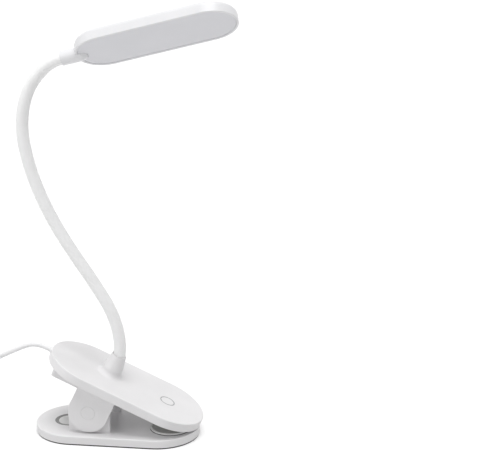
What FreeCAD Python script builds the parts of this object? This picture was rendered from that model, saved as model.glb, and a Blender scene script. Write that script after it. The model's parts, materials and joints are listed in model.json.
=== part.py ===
import FreeCAD
import Part
import math
import os

# Clip-on reading lamp: a spring clip of two round-ended jaws, a bendable neck
# standing on the upper jaw, and a flat LED head. Millimetres, +Z up.
# Origin: centre of the lower jaw's underside. +X points to the clip's mouth.

V = FreeCAD.Vector
X_AXIS = V(1, 0, 0)
Y_AXIS = V(0, 1, 0)
Z_AXIS = V(0, 0, 1)

# ---- both jaws ----
JAW_LENGTH = 120.0
JAW_WIDTH = 60.0
WALL = 1.6
EDGE_ROUND = 0.8
SEAM = 0.15                    # clearance round a plate let into a shell
HOLE_ROOF = 0.8                # left over the end of a screw's hole

# ---- lower jaw ----
SOLE_THICK = 1.0
SOLE_INSET = 0.4
LOWER_HEIGHT = 6.8             # top face above the table
LOWER_ROOF = 1.8
LOWER_PLATE = 1.4

# ---- upper jaw, in its own frame: x along the jaw, z out of its top face ----
UPPER_HEIGHT = 6.7
UPPER_ROOF = 1.8
UPPER_PLATE = 1.5
JAW_ANGLE = 25.0               # slope of the upper jaw with the clip shut
TIP_GAP = 0.3                  # between the jaws' front edges with the clip shut

# ---- hinge ----
PIVOT_X = -16.5
PIVOT_Z = 22.8
PIN_R = 2.0
PIN_FIT = 0.05
TOWER_R = 15.0
TOWER_IN = 17.5                # inner face of each tower, from the middle
TOWER_THICK = 3.0
EAR_R = TOWER_R - 0.4
EAR_GAP = 0.5                  # between a tower and its ear
EAR_THICK = 3.0
CAP_R = 5.0
CAP_THICK = 1.0
PIN_END_GAP = 0.1              # between the pin and its caps

# ---- housing under the back of the upper jaw ----
HOUSING_BACK = -JAW_LENGTH / 2 + 8.0
HOUSING_FRONT = -2.0
HOUSING_DEPTH = 14.0           # below the jaw's top face
HOUSING_WALL = 1.5
HOUSING_SIDE_GAP = 0.5         # to the towers
HOUSING_CORNER = 2.0

# ---- torsion spring ----
SPRING_WIRE_R = 0.8
SPRING_R = 5.6
SPRING_PITCH = 1.85
SPRING_TURNS = 5
SPRING_TOUCH = 0.1
UPPER_LEG_HEADING = 130.0
LOWER_LEG_HEADING = 50.0

# ---- pads ----
GRIP_X = JAW_LENGTH / 2 - 20.0
GRIP_R = 14.8                  # half its size along the jaw, and of its round ends
GRIP_ACROSS = 40.0
GRIP_THICK = 2.4
GRIP_EDGE = 0.5
UPPER_GRIP_THICK = 1.2
RECESS_DEPTH = 0.8
REAR_PAD_X = -JAW_LENGTH / 2 + 24.0
REAR_PAD_R = 8.6
REAR_RECESS_R = REAR_PAD_R + 2.4
REAR_PAD_THICK = 0.7
PAD_FIT = 0.1
PAD_ROUND = 0.3
UPPER_GRIP_X = JAW_LENGTH / 2 - 26.0
UPPER_GRIP_R = 14.0

# ---- touch ring and electronics in the upper jaw ----
RING_X = JAW_LENGTH / 2 - 28.5
RING_R = 5.6
RING_WIDTH = 0.7
RING_DEPTH = 0.6
RING_FIT = 0.02
ELECTRODE_R = RING_R - 0.4
ELECTRODE_THICK = 0.2
CONTACT_R = 0.8
BOARD_X0 = 0.0
BOARD_X1 = RING_X + 10.5
BOARD_WIDTH = 22.0
BOARD_THICK = 1.0
BOARD_RISE = 0.8               # posts that carry the board
POST_R = 2.2
POST_Y = 7.5
FRONT_POSTS = ((BOARD_X1 - 3.0, -POST_Y), (BOARD_X1 - 3.0, POST_Y))
BOARD_SCREWS = ((BOARD_X0 + 5.0, -POST_Y), (BOARD_X0 + 5.0, POST_Y))
CHIPS = ((22.0, -6.0, 5.0, 4.0, 1.2), (12.0, 5.5, 5.0, 4.0, 1.2), (12.0, -4.0, 4.0, 4.0, 1.3))
SMALL_CHIP = (1.6, 0.8, 0.6)
SMALL_PITCH = 3.0
SMALL_ROWS = ((18.0, 6.5, 6), (28.0, -8.0, 4))
WIRE_LIE = 0.05                # between a wire and the board it lies on
WIRE_ON_BOARD = 3.0
WIRE_FROM_WALL = 1.2
RING_PROUD = 0.04

# ---- neck ----
SLEEVE_R = 4.4
SLEEVE_BORE = SLEEVE_R - 1.2
CORE_R = SLEEVE_BORE - 0.2
CORE_BORE = CORE_R - 1.1
LAMP_WIRE_R = 0.6
LAMP_WIRE_Y = CORE_BORE - LAMP_WIRE_R - 0.5
NECK_FOOT_X = -12.6            # where the neck meets the upper jaw
NECK_STRAIGHT = 4.7
STUB_ARC = (22.5, 30.0)        # length, turn in degrees (up and back is positive)
LINK_LENGTH = 31.5
LINK_TURNS = (25.0, 4.0, -5.0, -8.5, -11.0, -24.5, -36.5)
HEAD_ARC = (12.0, -24.0)
BALL_GAP = 0.3                 # between a link's round end and the next link's cup
CORE_PAST = 1.5
WIRE_PAST = 2.5
CORE_START = 4.6
WIRE_START = 5.0
CORE_FOOT_GAP = 0.4            # over the upper jaw's base plate
LAMP_WIRE_RISE = 2.5           # over the housing's floor

# ---- collar round the foot of the neck ----
COLLAR_HEIGHT = 16.4
COLLAR_BORE_R = SLEEVE_R + 0.35
COLLAR_RIM_R = COLLAR_BORE_R + 0.5
COLLAR_TAPER = 0.20
COLLAR_BORE_TAPER = 0.16
COLLAR_FOOT_R = COLLAR_RIM_R + 5.75
COLLAR_FLARE = 5.0
COLLAR_HOLLOW = (0.22, 0.26)   # mid point of the flare, as shares of its width and height
COLLAR_ROOT = 0.5              # sunk into the cover
NUT_FLATS = 2 * CORE_R + 5.0
NUT_THICK = 3.0
NECK_FIT = 0.1

# ---- head, in its own frame: x along, z from the lit face towards the top ----
HEAD_LENGTH = 115.0
HEAD_WIDTH = 42.0
HEAD_HEIGHT = 8.8
HEAD_ROUND = 3.5
HEAD_ROOF = 1.5
HEAD_WALL = 2.4
RIM_WIDTH = 1.6
DIFFUSER_THICK = 1.5
DIFFUSER_RECESS = 0.4
HEAD_ROLL = 36.2
SOCKET_R = SLEEVE_R + 0.8
SOCKET_RISE = HEAD_HEIGHT - 1.1 - SOCKET_R   # a thin roof is left over the socket
SOCKET_OUT = 10.5              # length that shows behind the head
SOCKET_IN = 8.4                # length that shows over the lit face
SOCKET_NOSE = 4.6
SOCKET_BORE_DEPTH = 7.0
CORE_DEPTH = 12.0
WIRE_CHANNEL = (3.8, 1.4)      # width, and depth below the socket's middle
WIRE_BEND = (3.2, 4.5)         # straight out of the core, then up to the board
WIRE_ON_LEDS = 5.0
LED_BOARD_THICK = 1.0
LED_BOARD_DROP = 0.7           # below the roof
LED_BOARD_X = (-HEAD_LENGTH / 2 + 15.5, HEAD_LENGTH / 2 - 10.5)
LED_BOARD_WIDTH = HEAD_WIDTH - 14.0
LED_SIZE = (3.5, 2.8, 0.8)
LED_COUNT = 10
LED_ROW_Y = 7.0
LED_END = 6.0
WIRE_WINDOW = (6.5, 4.8)       # gap in the film where the wires are soldered
REFLECTOR_THICK = 0.3
REFLECTOR_MARGIN = 0.5

# ---- screws ----
SCREW_R = 1.1
SCREW_HEAD_R = 2.1
SCREW_HEAD = 0.7
SCREW_LENGTH = 3.6
SHORT_SCREW = 2.2
SCREW_SLOT = 0.5
BOSS_R = 2.9
SCREW_FIT = 0.05
JAW_END = JAW_LENGTH / 2
LOWER_SCREWS = ((14.0 - JAW_END, -13.0), (14.0 - JAW_END, 13.0), (16.0, -20.0), (16.0, 20.0))
UPPER_SCREWS = ((15.0 - JAW_END, -20.5), (15.0 - JAW_END, 20.5),
                (JAW_END - 14.0, -13.5), (JAW_END - 14.0, 13.5))
HEAD_SCREWS = (LED_BOARD_X[0] + 12.0, 4.0, LED_BOARD_X[1] - 7.0)

# ---- USB lead ----
LEAD_R = 1.8
LEAD_DEPTH = 3.6               # exit below the upper jaw's top face
GROMMET_R = LEAD_R + 0.5
GROMMET_PROUD = 0.8
GROMMET_FLANGE_R = GROMMET_R + 0.5
GROMMET_FLANGE = 1.0
GROMMET_ROOM = 3.0             # hollow behind the wall for its flange
INNER_WIRE_R = 0.5
INNER_WIRES = ((-0.7, -4.4), (0.7, -3.0))
INNER_RUN = 7.0
JACKET_GAP = 0.1               # between the lead and its jacket in the grommet
LEAD_STRAIGHT = 6.4            # straight out of the grommet
LEAD_POINTS = [
    V(-60.3, 0.2, 64.5),
    V(-66.5, 0.9, 63.1),
    V(-76.8, 3.4, 57.6),
    V(-93.6, 11.5, 47.3),
    V(-106.4, 21.1, 35.2),
    V(-117.6, 29.5, 24.0),
    V(-127.2, 36.7, 16.4),
    V(-136.6, 43.0, 13.4),
    V(-146.0, 46.9, 13.0),
]
COIL_X = -150.0
COIL_Y = 25.0
COIL_MEAN_R = 21.0
COIL_LAYERS = 4
COIL_RISE = 0.6
TAIL_POINTS = [
    V(-172.5, 27.0, 2.6),
    V(-172.8, 11.0, 2.2),
    V(-172.8, -7.0, 2.4),
    V(-162.8, -17.0, 3.4),
    V(-149.7, -17.0, 4.0),
    V(-142.7, -17.0, 4.0),
]
PLUG_BODY = (28.0, 15.6, 8.0)
PLUG_RELIEF = 9.0
PLUG_SHELL = (12.0, 12.0, 4.5)
PLUG_SHELL_WALL = 0.35
PLUG_ROUND = 2.0
RELIEF_WALL = (0.5, 1.3)       # round the lead, at its thin and thick ends
TIE_WIDTH = 6.0
TIE_THICK = 0.6
TIE_SLACK = 0.2


# ---------------------------------------------------------------- helpers

def write(node, shape):
    """One STEP file for each node."""
    shape.exportStep("parts/" + node + ".step")


def box(x0, x1, y0, y1, z0, z1):
    return Part.makeBox(x1 - x0, y1 - y0, z1 - z0, V(x0, y0, z0))


def rod(radius, start, end):
    return Part.makeCylinder(radius, (end - start).Length, start, end - start)


def stadium(length, width, z0, z1):
    """Round-ended slab, long way along X."""
    r = width / 2
    c = length / 2 - r
    edges = [
        Part.LineSegment(V(-c, -r, z0), V(c, -r, z0)),
        Part.Arc(V(c, -r, z0), V(c + r, 0, z0), V(c, r, z0)),
        Part.LineSegment(V(c, r, z0), V(-c, r, z0)),
        Part.Arc(V(-c, r, z0), V(-c - r, 0, z0), V(-c, -r, z0)),
    ]
    outline = Part.Wire([edge.toShape() for edge in edges])
    return Part.Face(outline).extrude(V(0, 0, z1 - z0))


def edges_at_height(shape, z):
    return [e for e in shape.Edges if all(abs(v.Z - z) < 1e-6 for v in e.Vertexes)
            and abs(e.BoundBox.ZMax - z) < 1e-6]


def turned(outline, centre, axis_end):
    """Solid of revolution of a closed outline of lines and arcs in one plane."""
    edges = [item.toShape() for item in outline]
    return Part.Face(Part.Wire(edges)).revolve(centre, axis_end - centre, 360)


def rounded_path(points):
    """Straight runs joined by tangent arcs as large as the runs allow."""
    edges = []
    radii = []
    last = points[0]
    for before, corner, after in zip(points, points[1:], points[2:]):
        run_in = corner - before
        run_out = after - corner
        half = run_in.getAngle(run_out) / 2
        trim = 0.45 * min(run_in.Length, run_out.Length)
        radius = trim / math.tan(half)
        into = V(run_in).normalize()
        out = V(run_out).normalize()
        start = corner - into * trim
        end = corner + out * trim
        inward = V(out - into).normalize()
        middle = corner + inward * (radius / math.cos(half) - radius)
        edges.append(Part.LineSegment(last, start).toShape())
        edges.append(Part.Arc(start, middle, end).toShape())
        radii.append(radius)
        last = end
    edges.append(Part.LineSegment(last, points[-1]).toShape())
    return Part.Wire(edges), radii


def tube(points, radius):
    """Round wire along a rounded path; returns the solid, its radii and its length."""
    path, radii = rounded_path(points)
    start = points[0]
    ring = Part.Wire(Part.makeCircle(radius, start, points[1] - start))
    return path.makePipeShell([ring], True, False), radii, path.Length


def wire(points, radius):
    return tube(points, radius)[0]


def compound(shapes):
    return Part.makeCompound(shapes)


# ---------------------------------------------------------------- placements

TILT = math.radians(JAW_ANGLE)
ALONG = V(math.cos(TILT), 0, -math.sin(TILT))
OUT = V(math.sin(TILT), 0, math.cos(TILT))
TIP = V(JAW_LENGTH / 2, 0, LOWER_HEIGHT + TIP_GAP)
UPPER_ORIGIN = TIP + OUT * UPPER_HEIGHT - ALONG * (JAW_LENGTH / 2)
UPPER_PLACE = FreeCAD.Placement(UPPER_ORIGIN, FreeCAD.Rotation(Y_AXIS, JAW_ANGLE))
PIVOT = V(PIVOT_X, 0, PIVOT_Z)
PIVOT_ON_UPPER = UPPER_PLACE.inverse().multVec(PIVOT)

EAR_IN = TOWER_IN + TOWER_THICK + EAR_GAP
EAR_OUT = EAR_IN + EAR_THICK
HOUSING_HALF = TOWER_IN - HOUSING_SIDE_GAP
LOWER_ROOF_Z = LOWER_HEIGHT - LOWER_ROOF
LOWER_PLATE_Z = SOLE_THICK + LOWER_PLATE
UPPER_PLATE_Z = -UPPER_HEIGHT + UPPER_PLATE
LED_BOARD_TOP = HEAD_HEIGHT - HEAD_ROOF - LED_BOARD_DROP
LED_BOARD_Z = LED_BOARD_TOP - LED_BOARD_THICK
BOARD_TOP = UPPER_PLATE_Z + BOARD_RISE + BOARD_THICK
UPPER_BACK = -JAW_LENGTH / 2
INNER_LENGTH = JAW_LENGTH - 2 * WALL
INNER_WIDTH = JAW_WIDTH - 2 * WALL


def on_upper(shape):
    """Move a shape from the upper jaw's frame to its place on the lamp."""
    placed = shape.copy()
    placed.Placement = UPPER_PLACE.multiply(placed.Placement)
    return placed


# ---------------------------------------------------------------- neck line

def heading_vector(degrees):
    a = math.radians(degrees)
    return V(math.cos(a), 0, math.sin(a))


class Arc:
    """A piece of the neck's middle line, in the lamp's XZ plane."""

    def __init__(self, start, heading, length, turn):
        self.start = start
        self.heading = heading
        self.length = length
        self.turn = turn
        self.radius = length / math.radians(turn)
        self.centre = start + heading_vector(heading + 90) * self.radius

    def heading_at(self, distance):
        return self.heading + self.turn * distance / self.length

    def point_at(self, distance):
        return self.centre - heading_vector(self.heading_at(distance) + 90) * self.radius

    def sweep(self, outer, bore, start, end, side=0.0):
        """Round bar or pipe along the arc between two distances."""
        where = self.point_at(start) + Y_AXIS * side
        facing = heading_vector(self.heading_at(start))
        face = Part.Face(Part.Wire(Part.makeCircle(outer, where, facing)))
        if bore:
            face = face.cut(Part.Face(Part.Wire(Part.makeCircle(bore, where, facing))))
        turn = self.turn * (end - start) / self.length
        return face.revolve(self.centre, -Y_AXIS, turn).Solids[0]


def neck_arcs():
    """Foot arc, seven links and head arc, each tangent to the one before."""
    foot = UPPER_PLACE.multVec(V(NECK_FOOT_X, 0, 0))
    heading = 90.0 - JAW_ANGLE
    start = foot + heading_vector(heading) * NECK_STRAIGHT
    arcs = []
    for length, turn in [STUB_ARC] + [(LINK_LENGTH, t) for t in LINK_TURNS] + [HEAD_ARC]:
        arc = Arc(start, heading, length, turn)
        arcs.append(arc)
        start = arc.point_at(length)
        heading = arc.heading_at(length)
    return arcs


ARCS = neck_arcs()
NECK_END = ARCS[-1].point_at(HEAD_ARC[0])
HEAD_PITCH = ARCS[-1].heading_at(HEAD_ARC[0])
HEAD_TURN = FreeCAD.Rotation(Y_AXIS, -HEAD_PITCH).multiply(
    FreeCAD.Rotation(X_AXIS, -HEAD_ROLL))
SOCKET_START = V(-HEAD_LENGTH / 2 - SOCKET_OUT, 0, SOCKET_RISE)
HEAD_PLACE = FreeCAD.Placement(NECK_END - HEAD_TURN.multVec(SOCKET_START), HEAD_TURN)


def on_head(shape):
    """Move a shape from the head's frame to its place on the lamp."""
    placed = shape.copy()
    placed.Placement = HEAD_PLACE.multiply(placed.Placement)
    return placed


def round_end(arc):
    """The domed end of a sleeve, centred on the joint with the next link."""
    depth = math.sqrt(SLEEVE_R ** 2 - SLEEVE_BORE ** 2)
    top = math.atan2(SLEEVE_BORE, depth)
    middle = (top + math.pi / 2) / 2
    outline = [
        Part.LineSegment(V(SLEEVE_BORE, 0, 0), V(SLEEVE_R, 0, 0)),
        Part.Arc(V(SLEEVE_R, 0, 0),
                 V(SLEEVE_R * math.sin(middle), 0, SLEEVE_R * math.cos(middle)),
                 V(SLEEVE_BORE, 0, depth)),
        Part.LineSegment(V(SLEEVE_BORE, 0, depth), V(SLEEVE_BORE, 0, 0)),
    ]
    dome = turned(outline, V(0, 0, 0), Z_AXIS)
    end = arc.point_at(arc.length)
    facing = heading_vector(arc.heading_at(arc.length))
    dome.Placement = FreeCAD.Placement(end, FreeCAD.Rotation(Z_AXIS, facing))
    return dome


def cup(arc):
    """The ball that hollows the next link's start."""
    return Part.makeSphere(SLEEVE_R + BALL_GAP, arc.point_at(0))


def past_end(arc, radius, bore, length, side=0.0):
    """Straight piece that carries a core or wire a little past the joint."""
    start = arc.point_at(arc.length) + Y_AXIS * side
    end = start + heading_vector(arc.heading_at(arc.length)) * length
    piece = rod(radius, start, end)
    if bore:
        piece = piece.cut(rod(bore, start, end))
    return piece


def sleeve_link(arc, first=False, last=False):
    """Silicone sleeve of one link: cup below, dome above."""
    body = arc.sweep(SLEEVE_R, SLEEVE_BORE, 0, arc.length)
    if not last:
        body = body.fuse(round_end(arc))
    if not first:
        body = body.cut(cup(arc))
    return body.removeSplitter()


def core_link(arc, first=False, last=False):
    """Bendable steel core of one link."""
    start = 0 if first else CORE_START
    body = arc.sweep(CORE_R, CORE_BORE, start, arc.length)
    if not last:
        body = body.fuse(past_end(arc, CORE_R, CORE_BORE, CORE_PAST))
    return body.removeSplitter()


def wire_link(arc, side, first=False, last=False):
    """One of the two lamp wires inside a core."""
    start = 0 if first else WIRE_START
    body = arc.sweep(LAMP_WIRE_R, 0, start, arc.length, side)
    if not last:
        body = body.fuse(past_end(arc, LAMP_WIRE_R, 0, WIRE_PAST, side))
    return body.removeSplitter()


def make_links():
    for number, arc in enumerate(ARCS[1:-1], 1):
        write("neck_sleeve_%d" % number, sleeve_link(arc))
        write("neck_core_%d" % number, core_link(arc))
        wires = [wire_link(arc, side) for side in (-LAMP_WIRE_Y, LAMP_WIRE_Y)]
        write("lamp_wires_%d" % number, compound(wires))


def make_neck_foot():
    """Sleeve, core and wires that stay with the upper jaw."""
    arc = ARCS[0]
    foot = UPPER_PLACE.multVec(V(NECK_FOOT_X, 0, 0))
    under = UPPER_PLACE.multVec(V(NECK_FOOT_X, 0, UPPER_PLATE_Z + CORE_FOOT_GAP))
    sleeve_foot = rod(SLEEVE_R, foot, arc.start).cut(rod(SLEEVE_BORE, foot, arc.start))
    write("neck_sleeve_0", sleeve_foot.fuse(sleeve_link(arc, first=True)).removeSplitter())
    core_foot = rod(CORE_R, under, arc.start).cut(rod(CORE_BORE, under, arc.start))
    write("neck_core_0", core_foot.fuse(core_link(arc, first=True)).removeSplitter())
    low = -HOUSING_DEPTH + HOUSING_WALL + LAMP_WIRE_RISE
    gap_x = HOUSING_FRONT - HOUSING_WALL - WIRE_FROM_WALL
    over = BOARD_TOP + LAMP_WIRE_R + WIRE_LIE
    wires = []
    for side in (-LAMP_WIRE_Y, LAMP_WIRE_Y):
        top = UPPER_PLACE.inverse().multVec(arc.start)
        route = [
            V(top.x, side, top.z),
            V(NECK_FOOT_X, side, low),
            V(gap_x, side, low),
            V(gap_x, side, over),
            V(BOARD_X0 + WIRE_ON_BOARD, side, over),
        ]
        inner = on_upper(wire(route, LAMP_WIRE_R))
        wires.append(inner.fuse(wire_link(arc, side, first=True)).removeSplitter())
    write("lamp_wires_0", compound(wires))


def make_neck_top():
    """Sleeve, core and wires that stay with the head."""
    arc = ARCS[-1]
    facing = heading_vector(HEAD_PITCH)
    sleeve_end = NECK_END + facing * (SOCKET_BORE_DEPTH - NECK_FIT)
    core_end = NECK_END + facing * (CORE_DEPTH - NECK_FIT)
    sleeve_in = rod(SLEEVE_R, NECK_END, sleeve_end).cut(rod(SLEEVE_BORE, NECK_END, sleeve_end))
    write("neck_sleeve_8", sleeve_in.fuse(sleeve_link(arc, last=True)).removeSplitter())
    core_in = rod(CORE_R, NECK_END, core_end).cut(rod(CORE_BORE, NECK_END, core_end))
    write("neck_core_8", core_in.fuse(core_link(arc, last=True)).removeSplitter())
    entry = SOCKET_START.x
    reach = entry + CORE_DEPTH + WIRE_BEND[0]
    under = LED_BOARD_Z - LAMP_WIRE_R - WIRE_LIE
    wires = []
    for side in (-LAMP_WIRE_Y, LAMP_WIRE_Y):
        # the wire offset is across the lamp, so turn it back into the head's frame
        a = math.radians(HEAD_ROLL)
        y = side * math.cos(a)
        z = SOCKET_RISE - side * math.sin(a)
        route = [
            V(entry, y, z),
            V(reach, y, z),
            V(reach + WIRE_BEND[1], y, under),
            V(LED_BOARD_X[0] + WIRE_ON_LEDS, y, under),
        ]
        inner = on_head(wire(route, LAMP_WIRE_R))
        wires.append(inner.fuse(wire_link(arc, side, last=True)).removeSplitter())
    write("lamp_wires_8", compound(wires))


# ---------------------------------------------------------------- screws

def screw(x, y, z, up, length=SCREW_LENGTH):
    """Pan-head screw; z is the seat of its head, up is +1 or -1."""
    head = rod(SCREW_HEAD_R, V(x, y, z), V(x, y, z - up * SCREW_HEAD))
    shank = rod(SCREW_R, V(x, y, z), V(x, y, z + up * length))
    slot = box(x - SCREW_HEAD_R, x + SCREW_HEAD_R, y - SCREW_SLOT / 2, y + SCREW_SLOT / 2,
               min(z - up * SCREW_HEAD, z - up * SCREW_HEAD / 2),
               max(z - up * SCREW_HEAD, z - up * SCREW_HEAD / 2))
    return head.fuse(shank).removeSplitter().cut(slot)


def screw_hole(x, y, z0, z1):
    return rod(SCREW_R + SCREW_FIT, V(x, y, z0), V(x, y, z1))


# ---------------------------------------------------------------- lower jaw

def lower_shell():
    shell = stadium(JAW_LENGTH, JAW_WIDTH, SOLE_THICK, LOWER_HEIGHT)
    shell = shell.makeFillet(EDGE_ROUND, edges_at_height(shell, LOWER_HEIGHT))
    shell = shell.cut(stadium(INNER_LENGTH, INNER_WIDTH, SOLE_THICK, LOWER_ROOF_Z))
    for side in (-1, 1):
        y_in = side * TOWER_IN
        y_out = side * (TOWER_IN + TOWER_THICK)
        tower = rod(TOWER_R, V(PIVOT_X, y_in, PIVOT_Z), V(PIVOT_X, y_out, PIVOT_Z))
        foot = box(PIVOT_X - TOWER_R, PIVOT_X + TOWER_R, min(y_in, y_out), max(y_in, y_out),
                   LOWER_ROOF_Z, PIVOT_Z)
        shell = shell.fuse(tower.fuse(foot))
    for x, y in LOWER_SCREWS:
        boss = rod(BOSS_R, V(x, y, LOWER_PLATE_Z), V(x, y, LOWER_ROOF_Z))
        shell = shell.fuse(boss)
    shell = shell.removeSplitter()
    front = cross_pad(PAD_FIT, LOWER_HEIGHT - RECESS_DEPTH, LOWER_HEIGHT)
    rear = Part.makeCone(REAR_PAD_R + PAD_FIT, REAR_RECESS_R, RECESS_DEPTH,
                         V(REAR_PAD_X, 0, LOWER_HEIGHT - RECESS_DEPTH))
    shell = shell.cut(front).cut(rear)
    for x, y in LOWER_SCREWS:
        shell = shell.cut(screw_hole(x, y, LOWER_PLATE_Z, LOWER_HEIGHT - HOLE_ROOF))
    reach = TOWER_IN + TOWER_THICK + 1
    bore = rod(PIN_R + PIN_FIT, V(PIVOT_X, -reach, PIVOT_Z), V(PIVOT_X, reach, PIVOT_Z))
    return shell.cut(bore)


def lower_base_plate():
    plate = stadium(INNER_LENGTH - 2 * SEAM, INNER_WIDTH - 2 * SEAM, SOLE_THICK, LOWER_PLATE_Z)
    for x, y in LOWER_SCREWS:
        plate = plate.cut(screw_hole(x, y, SOLE_THICK, LOWER_PLATE_Z))
        sink = rod(SCREW_HEAD_R + PAD_FIT, V(x, y, SOLE_THICK), V(x, y, SOLE_THICK + SCREW_HEAD))
        plate = plate.cut(sink)
    return plate


def sole_pad():
    return stadium(JAW_LENGTH - 2 * SOLE_INSET, JAW_WIDTH - 2 * SOLE_INSET, 0, SOLE_THICK)


def cross_pad(grow, z0, z1):
    """Round-ended slab across the jaw, under its tip."""
    slab = stadium(GRIP_ACROSS + 2 * grow, 2 * (GRIP_R + grow), z0, z1)
    slab.rotate(V(0, 0, 0), V(0, 0, 1), 90)
    slab.translate(V(GRIP_X, 0, 0))
    return slab


def lower_grip_pad(base_z):
    pad = cross_pad(0, base_z, base_z + GRIP_THICK)
    return pad.makeFillet(GRIP_EDGE, edges_at_height(pad, base_z + GRIP_THICK))


def rear_round_pad(base_z):
    """Round pad whose sloping rim lies on the slope of its recess."""
    top_r = REAR_PAD_R + (REAR_RECESS_R - REAR_PAD_R - PAD_FIT) * REAR_PAD_THICK / RECESS_DEPTH
    return Part.makeCone(REAR_PAD_R, top_r, REAR_PAD_THICK, V(REAR_PAD_X, 0, base_z))


def hinge_pin():
    reach = EAR_OUT - CAP_THICK - PIN_END_GAP
    return rod(PIN_R, V(PIVOT_X, -reach, PIVOT_Z), V(PIVOT_X, reach, PIVOT_Z))


def torsion_spring():
    """Coil round the pin; the upper leg bears on the housing, the lower on the jaw."""
    # local frame: x is the lamp's X, y is the lamp's Z, z runs along -Y
    sweep = 360.0 * SPRING_TURNS + UPPER_LEG_HEADING - LOWER_LEG_HEADING
    height = SPRING_PITCH * sweep / 360.0
    slope = math.atan2(SPRING_PITCH, 2 * math.pi * SPRING_R)

    def leg_vector(heading):
        a = math.radians(heading)
        flat = math.cos(slope)
        return V(math.cos(a) * flat, math.sin(a) * flat, math.sin(slope))

    def coil_point(heading, z):
        a = math.radians(heading - 90)
        return V(SPRING_R * math.cos(a), SPRING_R * math.sin(a), z)

    helix = Part.makeHelix(SPRING_PITCH, height, SPRING_R)
    helix.rotate(V(0, 0, 0), Z_AXIS, LOWER_LEG_HEADING - 90)
    helix.translate(V(0, 0, -height / 2))
    coil_in = coil_point(LOWER_LEG_HEADING, -height / 2)
    coil_out = coil_point(UPPER_LEG_HEADING, height / 2)
    # lower leg: down to the lower jaw's top face
    drop = PIVOT_Z - LOWER_HEIGHT - SPRING_WIRE_R - SPRING_TOUCH + coil_in.y
    lower = leg_vector(LOWER_LEG_HEADING)
    lower_end = coil_in - lower * (drop / lower.y)
    # upper leg: up to the underside of the housing
    upper = leg_vector(UPPER_LEG_HEADING)
    out = V(math.sin(TILT), math.cos(TILT), 0)
    bearing = -HOUSING_DEPTH - PIVOT_ON_UPPER.z - SPRING_WIRE_R - SPRING_TOUCH
    upper_end = coil_out + upper * ((bearing - coil_out.dot(out)) / upper.dot(out))
    edges = [Part.LineSegment(lower_end, coil_in).toShape()]
    edges += helix.Edges
    edges.append(Part.LineSegment(coil_out, upper_end).toShape())
    ring = Part.Wire(Part.makeCircle(SPRING_WIRE_R, lower_end, lower))
    spring = Part.Wire(edges).makePipeShell([ring], True, True)
    spring.Placement = FreeCAD.Placement(PIVOT, FreeCAD.Rotation(X_AXIS, 90))
    return spring


def make_lower_jaw():
    write("lower_shell", lower_shell())
    write("lower_base_plate", lower_base_plate())
    write("sole_pad", sole_pad())
    seat = LOWER_HEIGHT - RECESS_DEPTH
    write("lower_grip_pad", lower_grip_pad(seat))
    write("rear_round_pad", rear_round_pad(seat))
    seat_z = SOLE_THICK + SCREW_HEAD
    write("lower_screws", compound([screw(x, y, seat_z, 1) for x, y in LOWER_SCREWS]))
    write("hinge_pin", hinge_pin())
    write("torsion_spring", torsion_spring())


# ---------------------------------------------------------------- upper jaw

def collar_x():
    """Middle of the collar: the neck has leant back this far at the rim."""
    rise = COLLAR_HEIGHT - NECK_STRAIGHT
    radius = STUB_ARC[0] / math.radians(STUB_ARC[1])
    return NECK_FOOT_X - (radius - math.sqrt(radius ** 2 - rise ** 2))


def collar():
    x = collar_x()
    foot_line = COLLAR_RIM_R + (COLLAR_HEIGHT - COLLAR_FLARE) * COLLAR_TAPER
    middle = V(x + foot_line + COLLAR_HOLLOW[0] * (COLLAR_FOOT_R - foot_line), 0,
               COLLAR_HOLLOW[1] * COLLAR_FLARE)
    outline = [
        Part.LineSegment(V(x, 0, -COLLAR_ROOT), V(x + COLLAR_FOOT_R, 0, -COLLAR_ROOT)),
        Part.LineSegment(V(x + COLLAR_FOOT_R, 0, -COLLAR_ROOT), V(x + COLLAR_FOOT_R, 0, 0)),
        Part.Arc(V(x + COLLAR_FOOT_R, 0, 0), middle, V(x + foot_line, 0, COLLAR_FLARE)),
        Part.LineSegment(V(x + foot_line, 0, COLLAR_FLARE),
                         V(x + COLLAR_RIM_R, 0, COLLAR_HEIGHT)),
        Part.LineSegment(V(x + COLLAR_RIM_R, 0, COLLAR_HEIGHT), V(x, 0, COLLAR_HEIGHT)),
        Part.LineSegment(V(x, 0, COLLAR_HEIGHT), V(x, 0, -COLLAR_ROOT)),
    ]
    return turned(outline, V(x, 0, 0), V(x, 0, 1))


def collar_bore():
    wide = COLLAR_BORE_R + COLLAR_HEIGHT * COLLAR_BORE_TAPER
    return Part.makeCone(wide, COLLAR_BORE_R, COLLAR_HEIGHT, V(collar_x(), 0, 0))


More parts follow.
